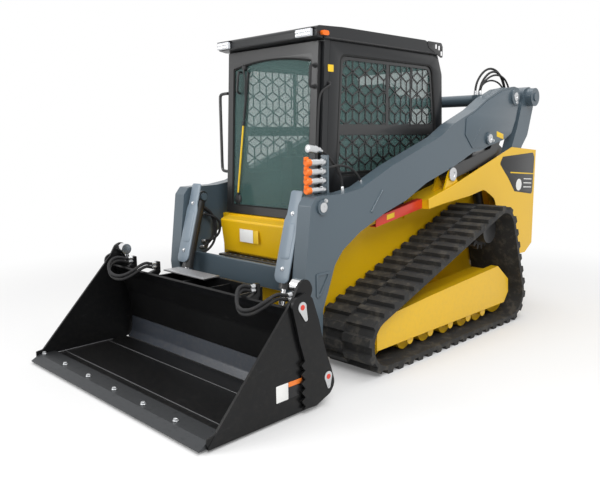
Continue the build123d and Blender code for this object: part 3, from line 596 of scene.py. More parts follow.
# %% [markdown]
# ## Hoses of the clam
# A pair of hoses swings forward over the bucket's back edge at either side, in a flat loop with enough
# slack for the clam. Both leave and meet a bent bracket on the moldboard, one hose above the other.

# %% Hoses of the clam
PORT_X = 1.196
BULKHEADS = (0.826, 0.520)
loop = [(PORT_X, BULKHEADS[0], 0.620), (1.240, BULKHEADS[0], 0.620), (1.284, 0.830, 0.638),
        (1.332, 0.836, 0.638), (1.380, 0.820, 0.612), (1.414, 0.768, 0.570), (1.418, 0.690, 0.546),
        (1.396, 0.608, 0.550),
        (1.352, 0.546, 0.590), (1.312, 0.514, 0.626), (1.268, 0.512, 0.636), (1.232, BULKHEADS[1], 0.620),
        (PORT_X, BULKHEADS[1], 0.620)]
for side_name, sign in (("left", 1), ("right", -1)):
    for layer, (lift, spread) in (("low", (-0.012, 0.0)), ("high", (0.012, 0.004))):
        route = [(x + (spread if 0 < k < len(loop) - 1 else 0), sign * y, z + lift)
                 for k, (x, y, z) in enumerate(loop)]
        hose("clam_hose_%s_%s" % (side_name, layer), route, 0.021, "bucket")
brackets = Shop()
bent = [(1.226, 0.505), (1.170, 0.570, 0.01), (1.170, 0.645, 0.006), (1.197, 0.645, 0.004),
        (1.197, 0.590, 0.01), (1.272, 0.568), (1.240, 0.525)]
for y in BULKHEADS:
    brackets.plate(bent, side_view(y), 0.040, edge=0.003)
brackets.mirrored().done("hose_bulkheads", bucket_paint, "bucket", "black_paint")
print("lengths:", hose_lengths)

# %% [markdown]
# ## Hoses at the knee
# Short hoses join the couplings to the arm, and three more drop beside each tilt cylinder in loose bows.
# The bow is a table of shares, stretched to each hose's own height and reach. All of them rise with the
# arm.

# %% Hoses at the knee
LEADS = {                           # control points, from the arm to the coupling
    "coupling_lead_high": [(0.533, 0.612, 1.140), (0.535, 0.610, 1.205), (0.560, 0.608, 1.262),
                           (0.628, 0.606, 1.335), (0.690, 0.605, 1.388), (0.742, 0.605, 1.402)],
    "coupling_lead_low": [(0.350, 0.612, 1.175), (0.375, 0.615, 1.225), (0.450, 0.618, 1.280),
                          (0.555, 0.622, 1.306), (0.650, 0.624, 1.300), (0.726, 0.624, 1.282)],
}
for name, route in LEADS.items():
    hose(name, route, 0.016, "lift_arm")
LEG_BOWS = (                        # x of the two ends, how far the bow reaches back, y, top, bottom
    (0.800, 0.135, 0.522, 1.010, 0.640),
    (0.775, 0.105, 0.538, 0.985, 0.690),
    (0.760, 0.120, 0.505, 0.940, 0.730),
)
ARM_INSIDE, OFF_ARM = 0.578, 0.558
for side_name, sign in (("left", 1), ("right", -1)):
    for i, (x, reach, y, top, low) in enumerate(LEG_BOWS):
        bow = [(0.0, ARM_INSIDE, 0.0), (0.10, OFF_ARM, 0.03), (0.55, y + 0.004, 0.12), (0.95, y, 0.32),
               (1.0, y, 0.55), (0.85, y, 0.78), (0.45, y + 0.006, 0.93), (0.10, OFF_ARM, 0.99),
               (0.0, ARM_INSIDE, 1.0)]
        route = [(x - reach * u, sign * v, top - (top - low) * w) for u, v, w in bow]
        hose("leg_hose_%s_%d" % (side_name, i + 1), route, 0.018, "lift_arm")
print("lengths:", hose_lengths)

# %% [markdown]
# ## The cab's side walls
# Each side wall is one pressed sheet with a large window, whose lower edge hides behind the arm. The pane
# is a little larger than the opening and sits in a rubber seal. One function gives the window's outline at
# any inset, so wall, pane and seal always agree.

# %% Side walls and side glass
FLOOR_Z, ROOF_Z = 0.940, 2.075
WALL_T, CAB_FACE = 0.030, 0.470
wall_rows = [(0.545, FLOOR_Z), (0.486, ROOF_Z), (-0.706, ROOF_Z), (-0.767, 1.939, 0.06), (-0.787, 1.554, 0.1),
             (-0.787, FLOOR_Z)]


def window(inset):
    """Outline of the side window, drawn in by an inset."""
    return [(0.440 - inset, 1.220 + inset, 0.06), (0.392 - inset, 2.000 - inset, 0.05),
            (-0.640 + inset, 2.000 - inset, 0.06), (-0.700 + inset, 1.560, 0.06),
            (-0.690 + inset, 1.220 + inset, 0.06)]


walls = Shop().plate(wall_rows, side_view(CAB_FACE - WALL_T / 2), WALL_T, holes=[window(0)], edge=0.003)
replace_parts(walls.mirrored().done("cab_side_walls", cab_paint, "chassis", "charcoal_paint"), "cab_sides")
panes = Shop().plate(window(-0.004), side_view(0.453), 0.006, edge=0.0008)
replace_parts(panes.mirrored().done("side_panes", window_glass, "chassis", "glass"), "side_glass")
seals = Shop().plate(window(0), side_view(0.4645), 0.009, holes=[window(0.010)], edge=0.0015)
seals.mirrored().done("side_seals", gasket_rubber, "chassis", "rubber")

# %% [markdown]
# ## Which bars the guard needs
# Over each side window sits a steel guard. Its bars repeat a six-sided cell with a Y inside, like stacked
# cubes seen from a corner. Neighbouring cells share their edges, so the bars are kept by their middles,
# which drops the doubles, and each is then cut off where it meets the guard's rim.

# %% Guard pattern
CELL = 0.076                        # side of a cell
CELL_ORIGIN = (-0.660, 1.290)
SHORTEST = 0.02                     # share of a bar that is worth keeping


def clipped(a, b, outline):
    """The stretch of a-b inside a convex outline that runs anticlockwise, or None."""
    start, end = 0.0, 1.0
    for p, q in zip(outline, outline[1:] + outline[:1]):
        normal = Vector((p[1] - q[1], q[0] - p[0]))
        at_a, at_b = normal.dot(a - Vector(p)), normal.dot(b - Vector(p))
        if at_a < 0 and at_b < 0:
            return None
        if at_a < 0:
            start = max(start, at_a / (at_a - at_b))
        elif at_b < 0:
            end = min(end, at_a / (at_a - at_b))
    return (a.lerp(b, start), a.lerp(b, end)) if start < end - SHORTEST else None


segments = {}
for row in range(-1, 8):
    for column in range(-1, 10):
        centre = Vector((CELL_ORIGIN[0] + CELL * sqrt(3) * (column + 0.5 * (row % 2)),
                         CELL_ORIGIN[1] + 1.5 * CELL * row))
        angles = [radians(60 * k + 30) for k in range(6)]
        corners = [centre + Vector((cos(angle), sin(angle))) * CELL for angle in angles]
        sides = list(zip(corners, corners[1:] + corners[:1]))
        spokes = [(centre, corners[k]) for k in (0, 2, 4)]
        for a, b in sides + spokes:
            middle = (a + b) / 2
            segments[(round(middle.x, 3), round(middle.y, 3))] = (a, b)
rim = window(0.012)
outline = [row[:2] for row in rim]
bars = [cut for cut in (clipped(a, b, outline) for a, b in segments.values()) if cut]
print("guard bars per side:", len(bars))

# %% [markdown]
# ## The guard
# The rim is one plate with three openings, divided by a belt and an upright. Each bar is a flat box laid
# along its stretch, a little longer than it, so that the ends run into each other and into the rim.

# %% Window guards
BAR_W, BAR_T, GUARD_Y = 0.0085, 0.005, 0.4597
BELT = (1.490, 1.560)
GUARD_TOP = 1.966
low_opening = [(0.408, 1.252, 0.05), (0.395, BELT[0]), (-0.668, BELT[0]), (-0.658, 1.252, 0.05)]
front_opening = [(0.388, BELT[1]), (0.358, GUARD_TOP, 0.045), (-0.090, GUARD_TOP), (-0.090, BELT[1])]
rear_opening = [(-0.120, BELT[1]), (-0.120, GUARD_TOP), (-0.606, GUARD_TOP, 0.055),
                (-0.664, BELT[1] + 0.01, 0.02)]
guards = Shop().plate(rim, side_view(GUARD_Y), 0.0065, holes=[low_opening, front_opening, rear_opening])
for a, b in bars:
    along = (b - a).normalized()
    across = Vector((-along.y, along.x)) * BAR_W / 2
    a, b = a - along * BAR_W * 0.3, b + along * BAR_W * 0.3
    ring = [a - across, b - across, b + across, a + across]
    faces = [[guards.mesh.verts.new((p.x, GUARD_Y + d, p.y)) for p in ring] for d in (-BAR_T / 2, BAR_T / 2)]
    guards.mesh.faces.new(faces[0])
    guards.mesh.faces.new(faces[1][::-1])
    for k in range(4):
        guards.mesh.faces.new((faces[0][k], faces[1][k], faces[1][(k + 1) % 4], faces[0][(k + 1) % 4]))
guards.block((-0.386, 0.4565, BELT[1] - 0.01), (-0.374, 0.4630, 1.972), 0.0008)
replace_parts(guards.mirrored().done("guard_lattice", black_paint, "chassis", "black_paint"), "window_guards")

# %% [markdown]
# ## The door's arch and seal
# The door leans back with the front posts, so its trim is drawn on a leaning plane: two small functions
# turn a place on the door, in y and height, into a place in space. The glass has an arched upper edge and a
# rubber seal all round. The arch is a parabola, flat enough to pass for the arc of a real one.

# %% Door arch and seal
LEAN = 0.05198                      # how far the door leans back for each metre up
DOOR_X = 0.63886                    # where its plane would meet the ground
SLOPE = hypot(1.0, LEAN)


def door_view(off):
    """Drawing in y and height, on the door, at a distance in front of the posts' face."""
    return drawing((DOOR_X + off, 0, 0), (0, 1, 0), (-LEAN, 0, 1))


def on_door(y, z, off):
    return Vector((DOOR_X + off - LEAN * z, y, z))


ARCH_TOP, ARCH_SIDE = 1.994, 1.955
STEPS = 8


def arch_line(half, top):
    """The arch from one side to the other, at a half width."""
    drop = ARCH_TOP - ARCH_SIDE
    return [(half * k / STEPS, top - drop * (k / STEPS) ** 2) for k in range(-STEPS, STEPS + 1)]


header = [(0.390, 1.999), (-0.390, 1.999)] + arch_line(0.390, ARCH_TOP)
header = [(y, z * SLOPE) for y, z in header]
brow = Shop().plate(header, door_view(0.0265), 0.011, edge=0.001)
brow.done("door_arch", black_paint, "cab_door", "black_paint")
SEAL_HALF, SEAL_FOOT = 0.381, 1.004
seal = [(SEAL_HALF, SEAL_FOOT)] + arch_line(SEAL_HALF, ARCH_TOP - 0.004)[::-1]
seal += [(-SEAL_HALF, SEAL_FOOT), (SEAL_HALF, SEAL_FOOT)]
lip = Shop().bar([on_door(y, z, 0.0235) for y, z in seal], 0.0055)
lip.done("door_seal", gasket_rubber, "cab_door", "rubber")

# %% [markdown]
# ## Handle, lever, wiper and strut
# What is gripped or wiped with on the door is round bar bent to shape: the pull handle on one side, and on
# the other a small lever and the wiper's arm and blade. Below the blade a gas strut with a yellow sleeve
# runs on down.

# %% Door fittings
HANDLE_Y, HANDLE_LOW, HANDLE_TOP = 0.418, 1.790, 1.920
handle = Shop()
grip = ((HANDLE_LOW, 0.028), (HANDLE_LOW, 0.066), (1.802, 0.074), (1.908, 0.074), (HANDLE_TOP, 0.066),
        (HANDLE_TOP, 0.028))
handle.bar([on_door(HANDLE_Y, z, off) for z, off in grip], 0.0095)
for z in (HANDLE_LOW, HANDLE_TOP):
    handle.turned(on_door(HANDLE_Y, z, 0.031), (1, 0, LEAN), [(0, 0.017), (0.004, 0.017), (0.006, 0.014)], 16)
handle.done("door_handle", black_plastic, "cab_door", "black_plastic")

crank = [(-0.300, 1.930, 0.028), (-0.302, 1.930, 0.052), (-0.306, 1.900, 0.056), (-0.314, 1.800, 0.056),
         (-0.314, 1.785, 0.028)]
lever = Shop().bar([on_door(*row) for row in crank], 0.009)
lever.done("door_lever", black_plastic, "cab_door", "black_plastic")

WIPER = (                           # points of a bar as (y, z, off the door), radius
    ([(-0.262, 1.955, 0.046), (-0.236, 1.870, 0.046), (-0.246, 1.760, 0.040)], 0.006),
    ([(-0.222, 1.925, 0.034), (-0.262, 1.600, 0.034)], 0.009),
    ([(-0.222, 1.925, 0.026), (-0.262, 1.600, 0.026)], 0.004),
)
hub = [(0, 0.020), (0.022, 0.020), (0.028, 0.012)]
wiper = Shop().turned(on_door(-0.262, 1.955, 0.020), (1, 0, LEAN), hub, 20)
for rows, radius in WIPER:
    wiper.bar([on_door(*row) for row in rows], radius)
wiper.done("wiper", black_plastic, "cab_door", "black_plastic")

STRUT_OFF = 0.030
sleeve = Shop().bar([on_door(-0.272, 1.575, STRUT_OFF), on_door(-0.322, 1.075, STRUT_OFF)], 0.0065)
sleeve.done("strut_sleeve", yellow_film, "cab_door", "yellow_paint")
strut_ends = Shop()
for a, b in (((-0.270, 1.592), (-0.273, 1.562)), ((-0.320, 1.092), (-0.325, 1.040))):
    strut_ends.bar([on_door(*a, STRUT_OFF), on_door(*b, STRUT_OFF)], 0.010)
strut_ends.turned(on_door(-0.325, 1.045, 0.018), (1, 0, LEAN), [(0, 0.034), (0.010, 0.034), (0.014, 0.026)], 24)
strut_ends.done("strut_ends", black_plastic, "cab_door", "black_plastic")

# %% [markdown]
# ## Work lamps
# A work lamp is a shallow box whose face carries two rows of bright cups, each with a small lens. One cup
# is a turned part, and two loops set sixteen of them on each housing.

# %% Work lamps
LAMP_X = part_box("cab_roof")[1].x    # the roof's front face
LAMPS = ((-0.468, -0.345), (0.318, 0.452))
LAMP_Z = (2.088, 2.134)
CUP = [(0, 0.0080), (0.004, 0.0086), (0.0045, 0.0066), (0.002, 0.0045)]
LENS = [(0.001, 0.0042), (0.003, 0.0036), (0.0042, 0.0018)]
ROWS, COLUMNS, CUP_EDGE = 2, 8, 0.012
housing, cups, lenses = Shop(), Shop(), Shop()
for y0, y1 in LAMPS:
    housing.plate(oblong(y0, y1, *LAMP_Z, 0.006), front_view(LAMP_X + 0.0145), 0.022, edge=0.003)
    for row in range(ROWS):
        for column in range(COLUMNS):
            y = y0 + CUP_EDGE + (y1 - y0 - 2 * CUP_EDGE) * column / (COLUMNS - 1)
            place = (LAMP_X + 0.0235, y, LAMP_Z[0] + 0.013 + 0.020 * row)
            cups.turned(place, (1, 0, 0), CUP, 12)
            lenses.turned(place, (1, 0, 0), LENS, 10)
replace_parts(housing.done("lamp_housings", lamp_lens, "chassis", "lamp"), "work_lamps")
cups.done("lamp_cups", chrome, "chassis", "lamp")
lenses.done("lamp_lights", led_white, "chassis", "lamp")
print("cups:", ROWS * COLUMNS * len(LAMPS))

# %% [markdown]
# ## Roof trim
# A gutter runs along three sides of the roof, and a small lid shades each lamp. At the rear corner stands a
# slotted bracket, made thin because the lift cylinder passes close by when the arm is up. A warm dome lamp
# hangs inside.

# %% Roof trim
GUTTER_Y, GUTTER_Z = 0.483, 2.083
trim = Shop().bar([(LAMP_X - 0.010, -0.484, 2.098), (LAMP_X - 0.010, 0.484, 2.098)], 0.007)
for y0, y1 in LAMPS:
    trim.block((LAMP_X - 0.050, y0 - 0.006, 2.136), (LAMP_X + 0.018, y1 + 0.006, 2.141), 0.0015)
for y in (GUTTER_Y, -GUTTER_Y):
    trim.bar([(0.560, y, GUTTER_Z), (-0.660, y, GUTTER_Z)], 0.006)
trim.done("roof_trim", black_plastic, "chassis", "black_plastic")
BRACKET = [(-0.570, 2.120), (-0.545, 2.166, 0.01), (-0.735, 2.166, 0.02), (-0.752, 2.140),
           (-0.752, 2.060, 0.01), (-0.722, 2.060)]
SLOT_U, SLOT_V = 0.011, 0.016
slots = [oblong(x - SLOT_U, x + SLOT_U, z - SLOT_V, z + SLOT_V, 0.006)
         for x, z in ((-0.665, 2.135), (-0.705, 2.128), (-0.737, 2.090))]
carrier = Shop().plate(BRACKET, side_view(0.4815), 0.0026, holes=slots, edge=0.0005)
carrier.done("roof_bracket", black_paint, "chassis", "black_paint")
SHADE = [(0, 0.050), (0.012, 0.050), (0.026, 0.040), (0.034, 0.018)]
dome = Shop().turned((-0.030, 0.300, 2.072), (0, 0, -1), SHADE, 24)
dome.done("dome_lamp", cab_light, "chassis", "lamp")

# %% [markdown]
# ## Grab rail and post rod
# The entry rail is a tube bent to a long bow. A NURBS curve rounds its bends, because it passes inside the
# corners of its control points and stays straight where several of them stand in line. The rod on the other
# post is a thinner one of the same make.

# %% Rails
RAIL_X, RAIL_Y, RAIL_R = 0.560, -0.560, 0.011
RAIL_LINE = ((-0.468, 1.235), (-0.530, 1.235), (-0.556, 1.245), (RAIL_Y, 1.280), (RAIL_Y, 1.400),
             (RAIL_Y, 1.620), (RAIL_Y, 1.755), (-0.556, 1.785), (-0.530, 1.795), (-0.468, 1.795))
rail = Shop().bar([(RAIL_X, y, z) for y, z in RAIL_LINE], RAIL_R, smooth=True)
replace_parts(rail.done("entry_rail", black_paint, "chassis", "black_paint"), "grab_rail")
post = Shop().bolt((0.500, 0.4705, 1.812), (0, 1, 0), 0.020)
post.bar([(0.500, 0.482, 1.800), (0.545, 0.478, 1.780), (0.578, 0.462, 1.745), (0.588, 0.458, 1.600),
          (0.604, 0.456, 1.300), (0.612, 0.456, 1.130)], 0.0065, smooth=True)
post.done("post_rod", black_plastic, "chassis", "black_plastic")

# %% [markdown]
# ## How a cushion is made
# Real cushions are foam pressed against a cover, so they bulge and their corners pull in. Modelling that by
# hand is slow. Here a plain pad is remeshed finely, Blender's cloth puffs it out for twenty frames with no
# gravity, no point may move further than a cap, and the result becomes the piece's mesh.

# %% A cushion
PUFF_FRAMES, PUFF_CAP = 20, 0.018
PUFF_PRESSURE, PUFF_VOXEL = 4.0, 0.008


def cushion(name, rows, half):
    """Soft pad with the side outline rows, reaching half to either side of the middle."""
    piece = Shop().plate(rows, side_view(0.0), 2 * half, edge=0.022)
    piece = piece.done(name, seat_vinyl, "chassis", "black_plastic", crease=180.0)
    bpy.context.view_layer.objects.active = piece
    remesh = piece.modifiers.new("fine", "REMESH")
    remesh.mode, remesh.voxel_size = "VOXEL", PUFF_VOXEL
    bpy.ops.object.modifier_apply(modifier=remesh.name)
    start = [vertex.co.copy() for vertex in piece.data.vertices]
    cloth = piece.modifiers.new("puff", "CLOTH")
    cloth.settings.use_pressure, cloth.settings.uniform_pressure_force = True, PUFF_PRESSURE
    cloth.settings.effector_weights.gravity = 0.0
    for frame_number in range(1, PUFF_FRAMES + 1):
        bpy.context.scene.frame_set(frame_number)
    bpy.ops.object.modifier_apply(modifier=cloth.name)
    bpy.context.scene.frame_set(1)
    for vertex, at in zip(piece.data.vertices, start):
        moved = vertex.co - at
        if moved.length > PUFF_CAP:
            vertex.co = at + moved * (PUFF_CAP / moved.length)
    piece.data.shade_smooth()
    print(name, "puffed out, points:", len(start))


print("cushions can be puffed out")

# %% [markdown]
# ## The seat
# Pan, back and head rest are three cushions on a black shell and pedestal. Beside them stand the consoles'
# arm rests with the ribbed boots of the two control sticks, and one long arm rest that is folded up.

# %% Seat
CUSHIONS = (                        # name, half width, side outline
    ("seat_pan", 0.235,
     [(-0.390, 1.205, 0.03), (0.035, 1.215, 0.04), (0.035, 1.295, 0.04), (-0.390, 1.275, 0.03)]),
    ("seat_back", 0.220,
     [(-0.410, 1.270, 0.03), (-0.325, 1.270, 0.03), (-0.440, 1.700, 0.03), (-0.525, 1.690, 0.03)]),
    ("head_rest", 0.130,
     [(-0.525, 1.730, 0.03), (-0.455, 1.730, 0.03), (-0.475, 1.885, 0.03), (-0.540, 1.880, 0.03)]),
)
for name, half, rows in CUSHIONS:
    cushion(name, rows, half)
SEAT_SHELL = (                      # pedestal, then the shell behind the back cushion
    [(-0.370, 0.965), (0.010, 0.965), (0.010, 1.120, 0.02), (0.030, 1.190, 0.02), (-0.400, 1.180, 0.02),
     (-0.370, 1.100)],
    [(-0.440, 1.250, 0.02), (-0.410, 1.250), (-0.530, 1.860, 0.02), (-0.560, 1.850, 0.02)],
)
base = Shop()
for rows in SEAT_SHELL:
    base.plate(rows, side_view(0), 0.40, edge=0.006)
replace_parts(base.done("seat_base", black_plastic, "chassis", "black_plastic"), "seat")
pad_rows = [(-0.215, 1.330, 0.03), (-0.135, 1.330, 0.03), (-0.115, 1.700, 0.03), (-0.130, 1.790, 0.03),
            (-0.200, 1.790, 0.03), (-0.235, 1.690, 0.03)]
pad = Shop().plate(pad_rows, side_view(0.362), 0.044, edge=0.014)
pad.done("raised_arm_rest", black_plastic, "chassis", "black_plastic")
BOOT = [(0, 0.045), (0.018, 0.034), (0.026, 0.038), (0.040, 0.026), (0.048, 0.029), (0.062, 0.018)]
rest_rows = [(-0.250, 1.335, 0.03), (-0.100, 1.335, 0.03), (-0.110, 1.400, 0.03), (-0.260, 1.395, 0.03)]
boots = Shop()
for sign in (1, -1):
    boots.turned((0.060, 0.330 * sign, 1.325), (0, 0, 1), BOOT, 20)
    boots.plate(rest_rows, side_view(0.360 * sign), 0.07, edge=0.015)
boots.done("arm_rests", black_plastic, "chassis", "black_plastic")

# %% [markdown]
# ## Labels and blank plates
# A label is a film plate about a millimetre thick on the panel that carries it. All of them are blank, and
# only their colours tell where the machine carried them. One function makes a label from its outline, its
# plane and its film, and only the row of dashes on the side is built by itself.

# %% Labels
FILM = 0.0012
SHIELD_Y, LINE_Y, NOSE_X = 0.7004, 0.7012, 0.7158


def label(name, rows, matrix, material, body, slot, both=False):
    """Film plate, on both sides of the machine if both is true."""
    shop = Shop().plate(rows, matrix, FILM, edge=FILM / 4)
    shop = shop.mirrored() if both else shop
    shop.done(name, material, body, slot)


cab_rows = oblong(0.458, 0.510, 1.883, 1.926, 0.004)
arm_rows = [(-1.230, 1.470), (-1.226, 1.512), (-1.336, 1.488), (-1.340, 1.446)]
line_rows = [(-1.474, 1.168), (-1.474, 1.178), (-1.892, 1.149), (-1.892, 1.139)]
shield_rows = [(-1.336, 1.307), (-1.867, 1.329, 0.02), (-1.897, 1.289, 0.02), (-1.885, 0.968, 0.03),
               (-1.558, 1.011), (-1.448, 1.122, 0.03), (-1.291, 1.251, 0.02)]
label("cab_tag", cab_rows, side_view(0.4706), yellow_film, "chassis", "yellow_paint", True)
label("arm_tag", arm_rows, side_view(0.6966), yellow_film, "lift_arm", "yellow_paint", True)
label("shield", shield_rows, side_view(SHIELD_Y), black_film, "chassis", "black_paint", True)
label("side_line", line_rows, side_view(LINE_Y), yellow_film, "chassis", "yellow_paint", True)
dashes = Shop()
for z in (1.105, 1.070, 1.035):
    rows = [(-1.715, z), (-1.715, z + 0.008), (-1.862, z - 0.002), (-1.862, z - 0.010)]
    dashes.plate(rows, side_view(LINE_Y), FILM, edge=FILM / 4)
dashes.turned((-1.630, 0.7006, 1.063), (0, 1, 0), [(0, 0.050), (0.0008, 0.050), (0.0010, 0.046)], 32)
dashes.mirrored().done("side_dashes", white_film, "chassis", "light_paint")
NOSE_LABELS = (                     # name, y of its two edges, film, slot
    ("nose_label_light", -0.188, -0.048, white_film, "light_paint"),
    ("nose_label", -0.045, 0.008, yellow_film, "yellow_paint"),
)
for name, y0, y1, film, slot in NOSE_LABELS:
    label(name, oblong(y0, y1, 0.762, 0.852), front_view(NOSE_X), film, "chassis", slot)

# %% [markdown]
# ## Arm plates
# Where the loads are highest the arm is doubled: a second plate is welded over its tail, a triangular
# gusset stiffens its leg, and two short ridges cross it. All are thin plates and bars on the arm's outer
# face.

# %% Arm plates
ARM_FACE = 0.690
doubler_rows = [(-0.770, 1.606), (-0.762, 1.484), (-0.868, 1.384), (-1.016, 1.388), (-1.118, 1.412, 0.06),
                (-1.366, 1.464, 0.1), (-1.466, 1.508, 0.06), (-1.524, 1.604, 0.08), (-1.560, 1.712, 0.06),
                (-1.566, 1.846, 0.03), (-1.490, 1.854, 0.1), (-1.296, 1.826, 0.15), (-1.090, 1.751, 0.15),
                (-0.897, 1.654, 0.2)]
gusset_rows = [(0.862, 0.672, 0.01), (0.730, 0.672, 0.01), (0.862, 0.474, 0.02)]
gusset_hole = [(0.846, 0.658, 0.006), (0.756, 0.658, 0.006), (0.846, 0.525, 0.01)]
plates = Shop().plate(doubler_rows, side_view(ARM_FACE + 0.003), 0.006, edge=0.0015)
plates.plate(gusset_rows, side_view(ARM_FACE + 0.003), 0.006, holes=[gusset_hole])
for ridge in (((0.344, 1.000), (0.229, 1.134)), ((-0.873, 1.427), (-0.994, 1.559))):
    plates.bar([(x, ARM_FACE + 0.002, z) for x, z in ridge], 0.006)
plates.mirrored().done("arm_doublers", slate_paint, "lift_arm", "slate_paint")

# %% [markdown]
# ## Pin caps
# Every joint of the arm turns on a greased pin. Its end shows as a shallow cap with a grease hole, and a
# bolt beside it holds the keeper that stops the pin from turning.

# %% Pin caps
PIN_CAPS = (                        # x, z, y of the boss face, radius, angle at which the keeper's bolt sits
    (-1.100, 1.455, 0.7125, 0.034, 200),
    (-1.500, 1.790, 0.7105, 0.034, 250),
    (0.804, 1.067, 0.7025, 0.030, 120),
)
caps = Shop()
for x, z, y, r, turn in PIN_CAPS:
    foot = Vector((x, y - 0.002, z))
    profile = [(0, r), (0.006, r), (0.008, r * 0.85), (0.008, r * 0.35), (0.005, r * 0.30)]
    caps.turned(foot, (0, 1, 0), profile, 28)
    aside = Vector((cos(radians(turn)), 0, sin(radians(turn))))
    caps.bolt(foot + aside * r * 1.45, (0, 1, 0), 0.020)
caps.mirrored().done("arm_pin_caps", zinc, "lift_arm", "bare_steel")
CONTROL_CAP = [(0, 0.050), (0.006, 0.050), (0.010, 0.044), (0.010, 0.020), (0.006, 0.018)]
control_cap = Shop().turned((-0.597, 0.696, 1.198), (0, 1, 0), CONTROL_CAP, 32)
control_cap.mirrored().done("control_pin_caps", zinc, "chassis", "bare_steel")

# %% [markdown]
# ## Quick couplings
# A powered attachment plugs its hoses in at the arm's knee. A small rack carries four couplings, one above
# the other, each a turned steel body with an orange dust cap, and one more stands on top where a lead comes
# in.

# %% Couplings
COUPLING_Y = 0.624
TOP_BODY = [(0, 0.016), (0.030, 0.016), (0.032, 0.024), (0.100, 0.024), (0.104, 0.018)]
BODY = [(0, 0.021), (0.022, 0.021), (0.024, 0.017), (0.060, 0.017), (0.062, 0.020), (0.118, 0.020),
        (0.122, 0.016)]
CAP = [(0, 0.022), (0.030, 0.023), (0.036, 0.018)]
rack = Shop().block((0.700, 0.596, 1.120), (0.714, 0.650, 1.372), 0.003)
gusset = [(0.640, 1.120, 0.01), (0.714, 1.120), (0.714, 1.372, 0.01), (0.690, 1.372, 0.01)]
rack.plate(gusset, side_view(0.599), 0.007)
rack.done("coupling_rack", slate_paint, "lift_arm", "slate_paint")
bodies, dust_caps = Shop(), Shop()
bodies.turned((0.735, 0.606, 1.402), (1, 0, 0.1), TOP_BODY, 18)
for i in range(4):
    z = 1.165 + 0.055 * i
    bodies.turned((0.716, COUPLING_Y, z), (1, 0, 0), BODY, 18)
    dust_caps.turned((0.838, COUPLING_Y, z), (1, 0, 0), CAP, 18)
    dust_caps.plate(oblong(0.850, 0.885, z + 0.012, z + 0.034, 0.004), side_view(COUPLING_Y), 0.010, edge=0.003)
bodies.done("coupling_bodies", zinc, "lift_arm", "bare_steel")
dust_caps.done("coupling_caps", orange_plastic, "lift_arm", "orange_lens")

# %% [markdown]
# ## Tilt cylinder guards
# A pressed cover shields each tilt cylinder from what falls off the bucket. It is drawn flat in a plane
# that follows the cylinder, across it and along it, stands on two studs, and rides with the barrel.

# %% Tilt cylinder guards
TILT_HEAD, TILT_FOOT = Vector((0.804, 0, 1.067)), Vector((1.000, 0, 0.370))
COVER_OFF = 0.049                   # from the cylinder's line to the middle of the cover
along = (TILT_FOOT - TILT_HEAD).normalized()
outward = Vector((-along.z, 0, along.x))
cover_rows = [(0.462, -0.082, 0.018), (0.560, -0.082, 0.018), (0.560, 0.066), (0.572, 0.104),
              (0.572, 0.486, 0.036), (0.448, 0.486, 0.05), (0.448, 0.104), (0.462, 0.066)]


def cover_view(off):
    return drawing(TILT_HEAD + outward * off, (0, 1, 0), along)


cover = Shop().plate(cover_rows, cover_view(COVER_OFF), 0.010, edge=0.002)
cover.plate(oblong(0.470, 0.550, 0.120, 0.340, 0.02), cover_view(COVER_OFF + 0.0055), 0.003, edge=0.001)
stud_bolts = Shop()
for t in (0.060, 0.400):
    foot = TILT_HEAD + along * t + Vector((0, 0.510, 0))
    cover.turned(foot + outward * 0.026, outward, [(0, 0.014), (0.020, 0.014)], 16)
    stud_bolts.bolt(foot + outward * (COVER_OFF + 0.005), outward, 0.020)
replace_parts(cover.mirrored().done("cylinder_guards", guard_paint, "tilt_barrels", "slate_paint"), "tilt_guards")
stud_bolts.mirrored().done("guard_bolts", zinc, "tilt_barrels", "bare_steel")

# %% [markdown]
# ## Bucket steel
# A pale blade edges the foot of the moldboard, and seven bolts hold the cutting edge. Weld beads run across
# the floor where its sheets meet and along both side walls. A bead is a round bar sunk partly into the
# steel.

# %% Bucket blade, bolts and welds
blade_rows = [(1.151, 0.176), (1.164, 0.180), (1.174, 0.074, 0.03), (1.206, 0.034), (1.198, 0.025),
              (1.160, 0.066, 0.03)]
blade = Shop().plate(blade_rows, side_view(0), 1.852, edge=0.001)
blade.done("back_blade", blade_paint, "bucket", "light_paint")
EDGE_BOLTS, FIRST_BOLT, BOLT_SPAN = 7, -0.926, 1.863
edge_bolts = Shop()
for k in range(EDGE_BOLTS):
    edge_bolts.bolt((1.840, FIRST_BOLT + BOLT_SPAN * k / (EDGE_BOLTS - 1), 0.0505), (0, 0, 1), 0.026)
edge_bolts.done("edge_bolts", zinc, "clam", "bare_steel")
seams = Shop()
for x in (1.365, 1.690):
    seams.bar([(x, -0.930, 0.0315), (x, 0.930, 0.0315)], 0.0035)
for y in (-0.936, 0.936):
    seams.bar([(1.330, y, 0.0335), (1.760, y, 0.0335)], 0.0045)
seams.done("weld_seams", weld_steel, "clam", "bare_steel")
tab_rows = [(1.800, 0.032), (1.800, 0.115, 0.01), (1.840, 0.076), (1.886, 0.070, 0.006), (1.886, 0.032)]
tabs = Shop().plate(tab_rows, side_view(0.948), 0.012)
tabs.mirrored().done("corner_tabs", bucket_paint, "clam", "black_paint")

# %% [markdown]
# ## Bucket labels and pin keepers
# The clam's side carries a blank plate in three fields. Its pins are kept by drop-shaped plates: two arcs,
# a wide one round the pin and a narrow one round the bolt, make the whole outline.

# %% Bucket labels and pin keepers
CLAM_LABELS = (                     # name, low and high x and z, film, slot
    ("clam_label", (1.355, 1.441, 0.113, 0.205), white_film, "light_paint"),
    ("clam_label_band", (1.253, 1.353, 0.178, 0.205), orange_film, "orange_lens"),
    ("clam_label_dark", (1.255, 1.353, 0.115, 0.176), black_film, "black_paint"),
)
for name, edges, film, slot in CLAM_LABELS:
    label(name, oblong(*edges, 0.004), side_view(0.9568), film, "clam", slot, True)


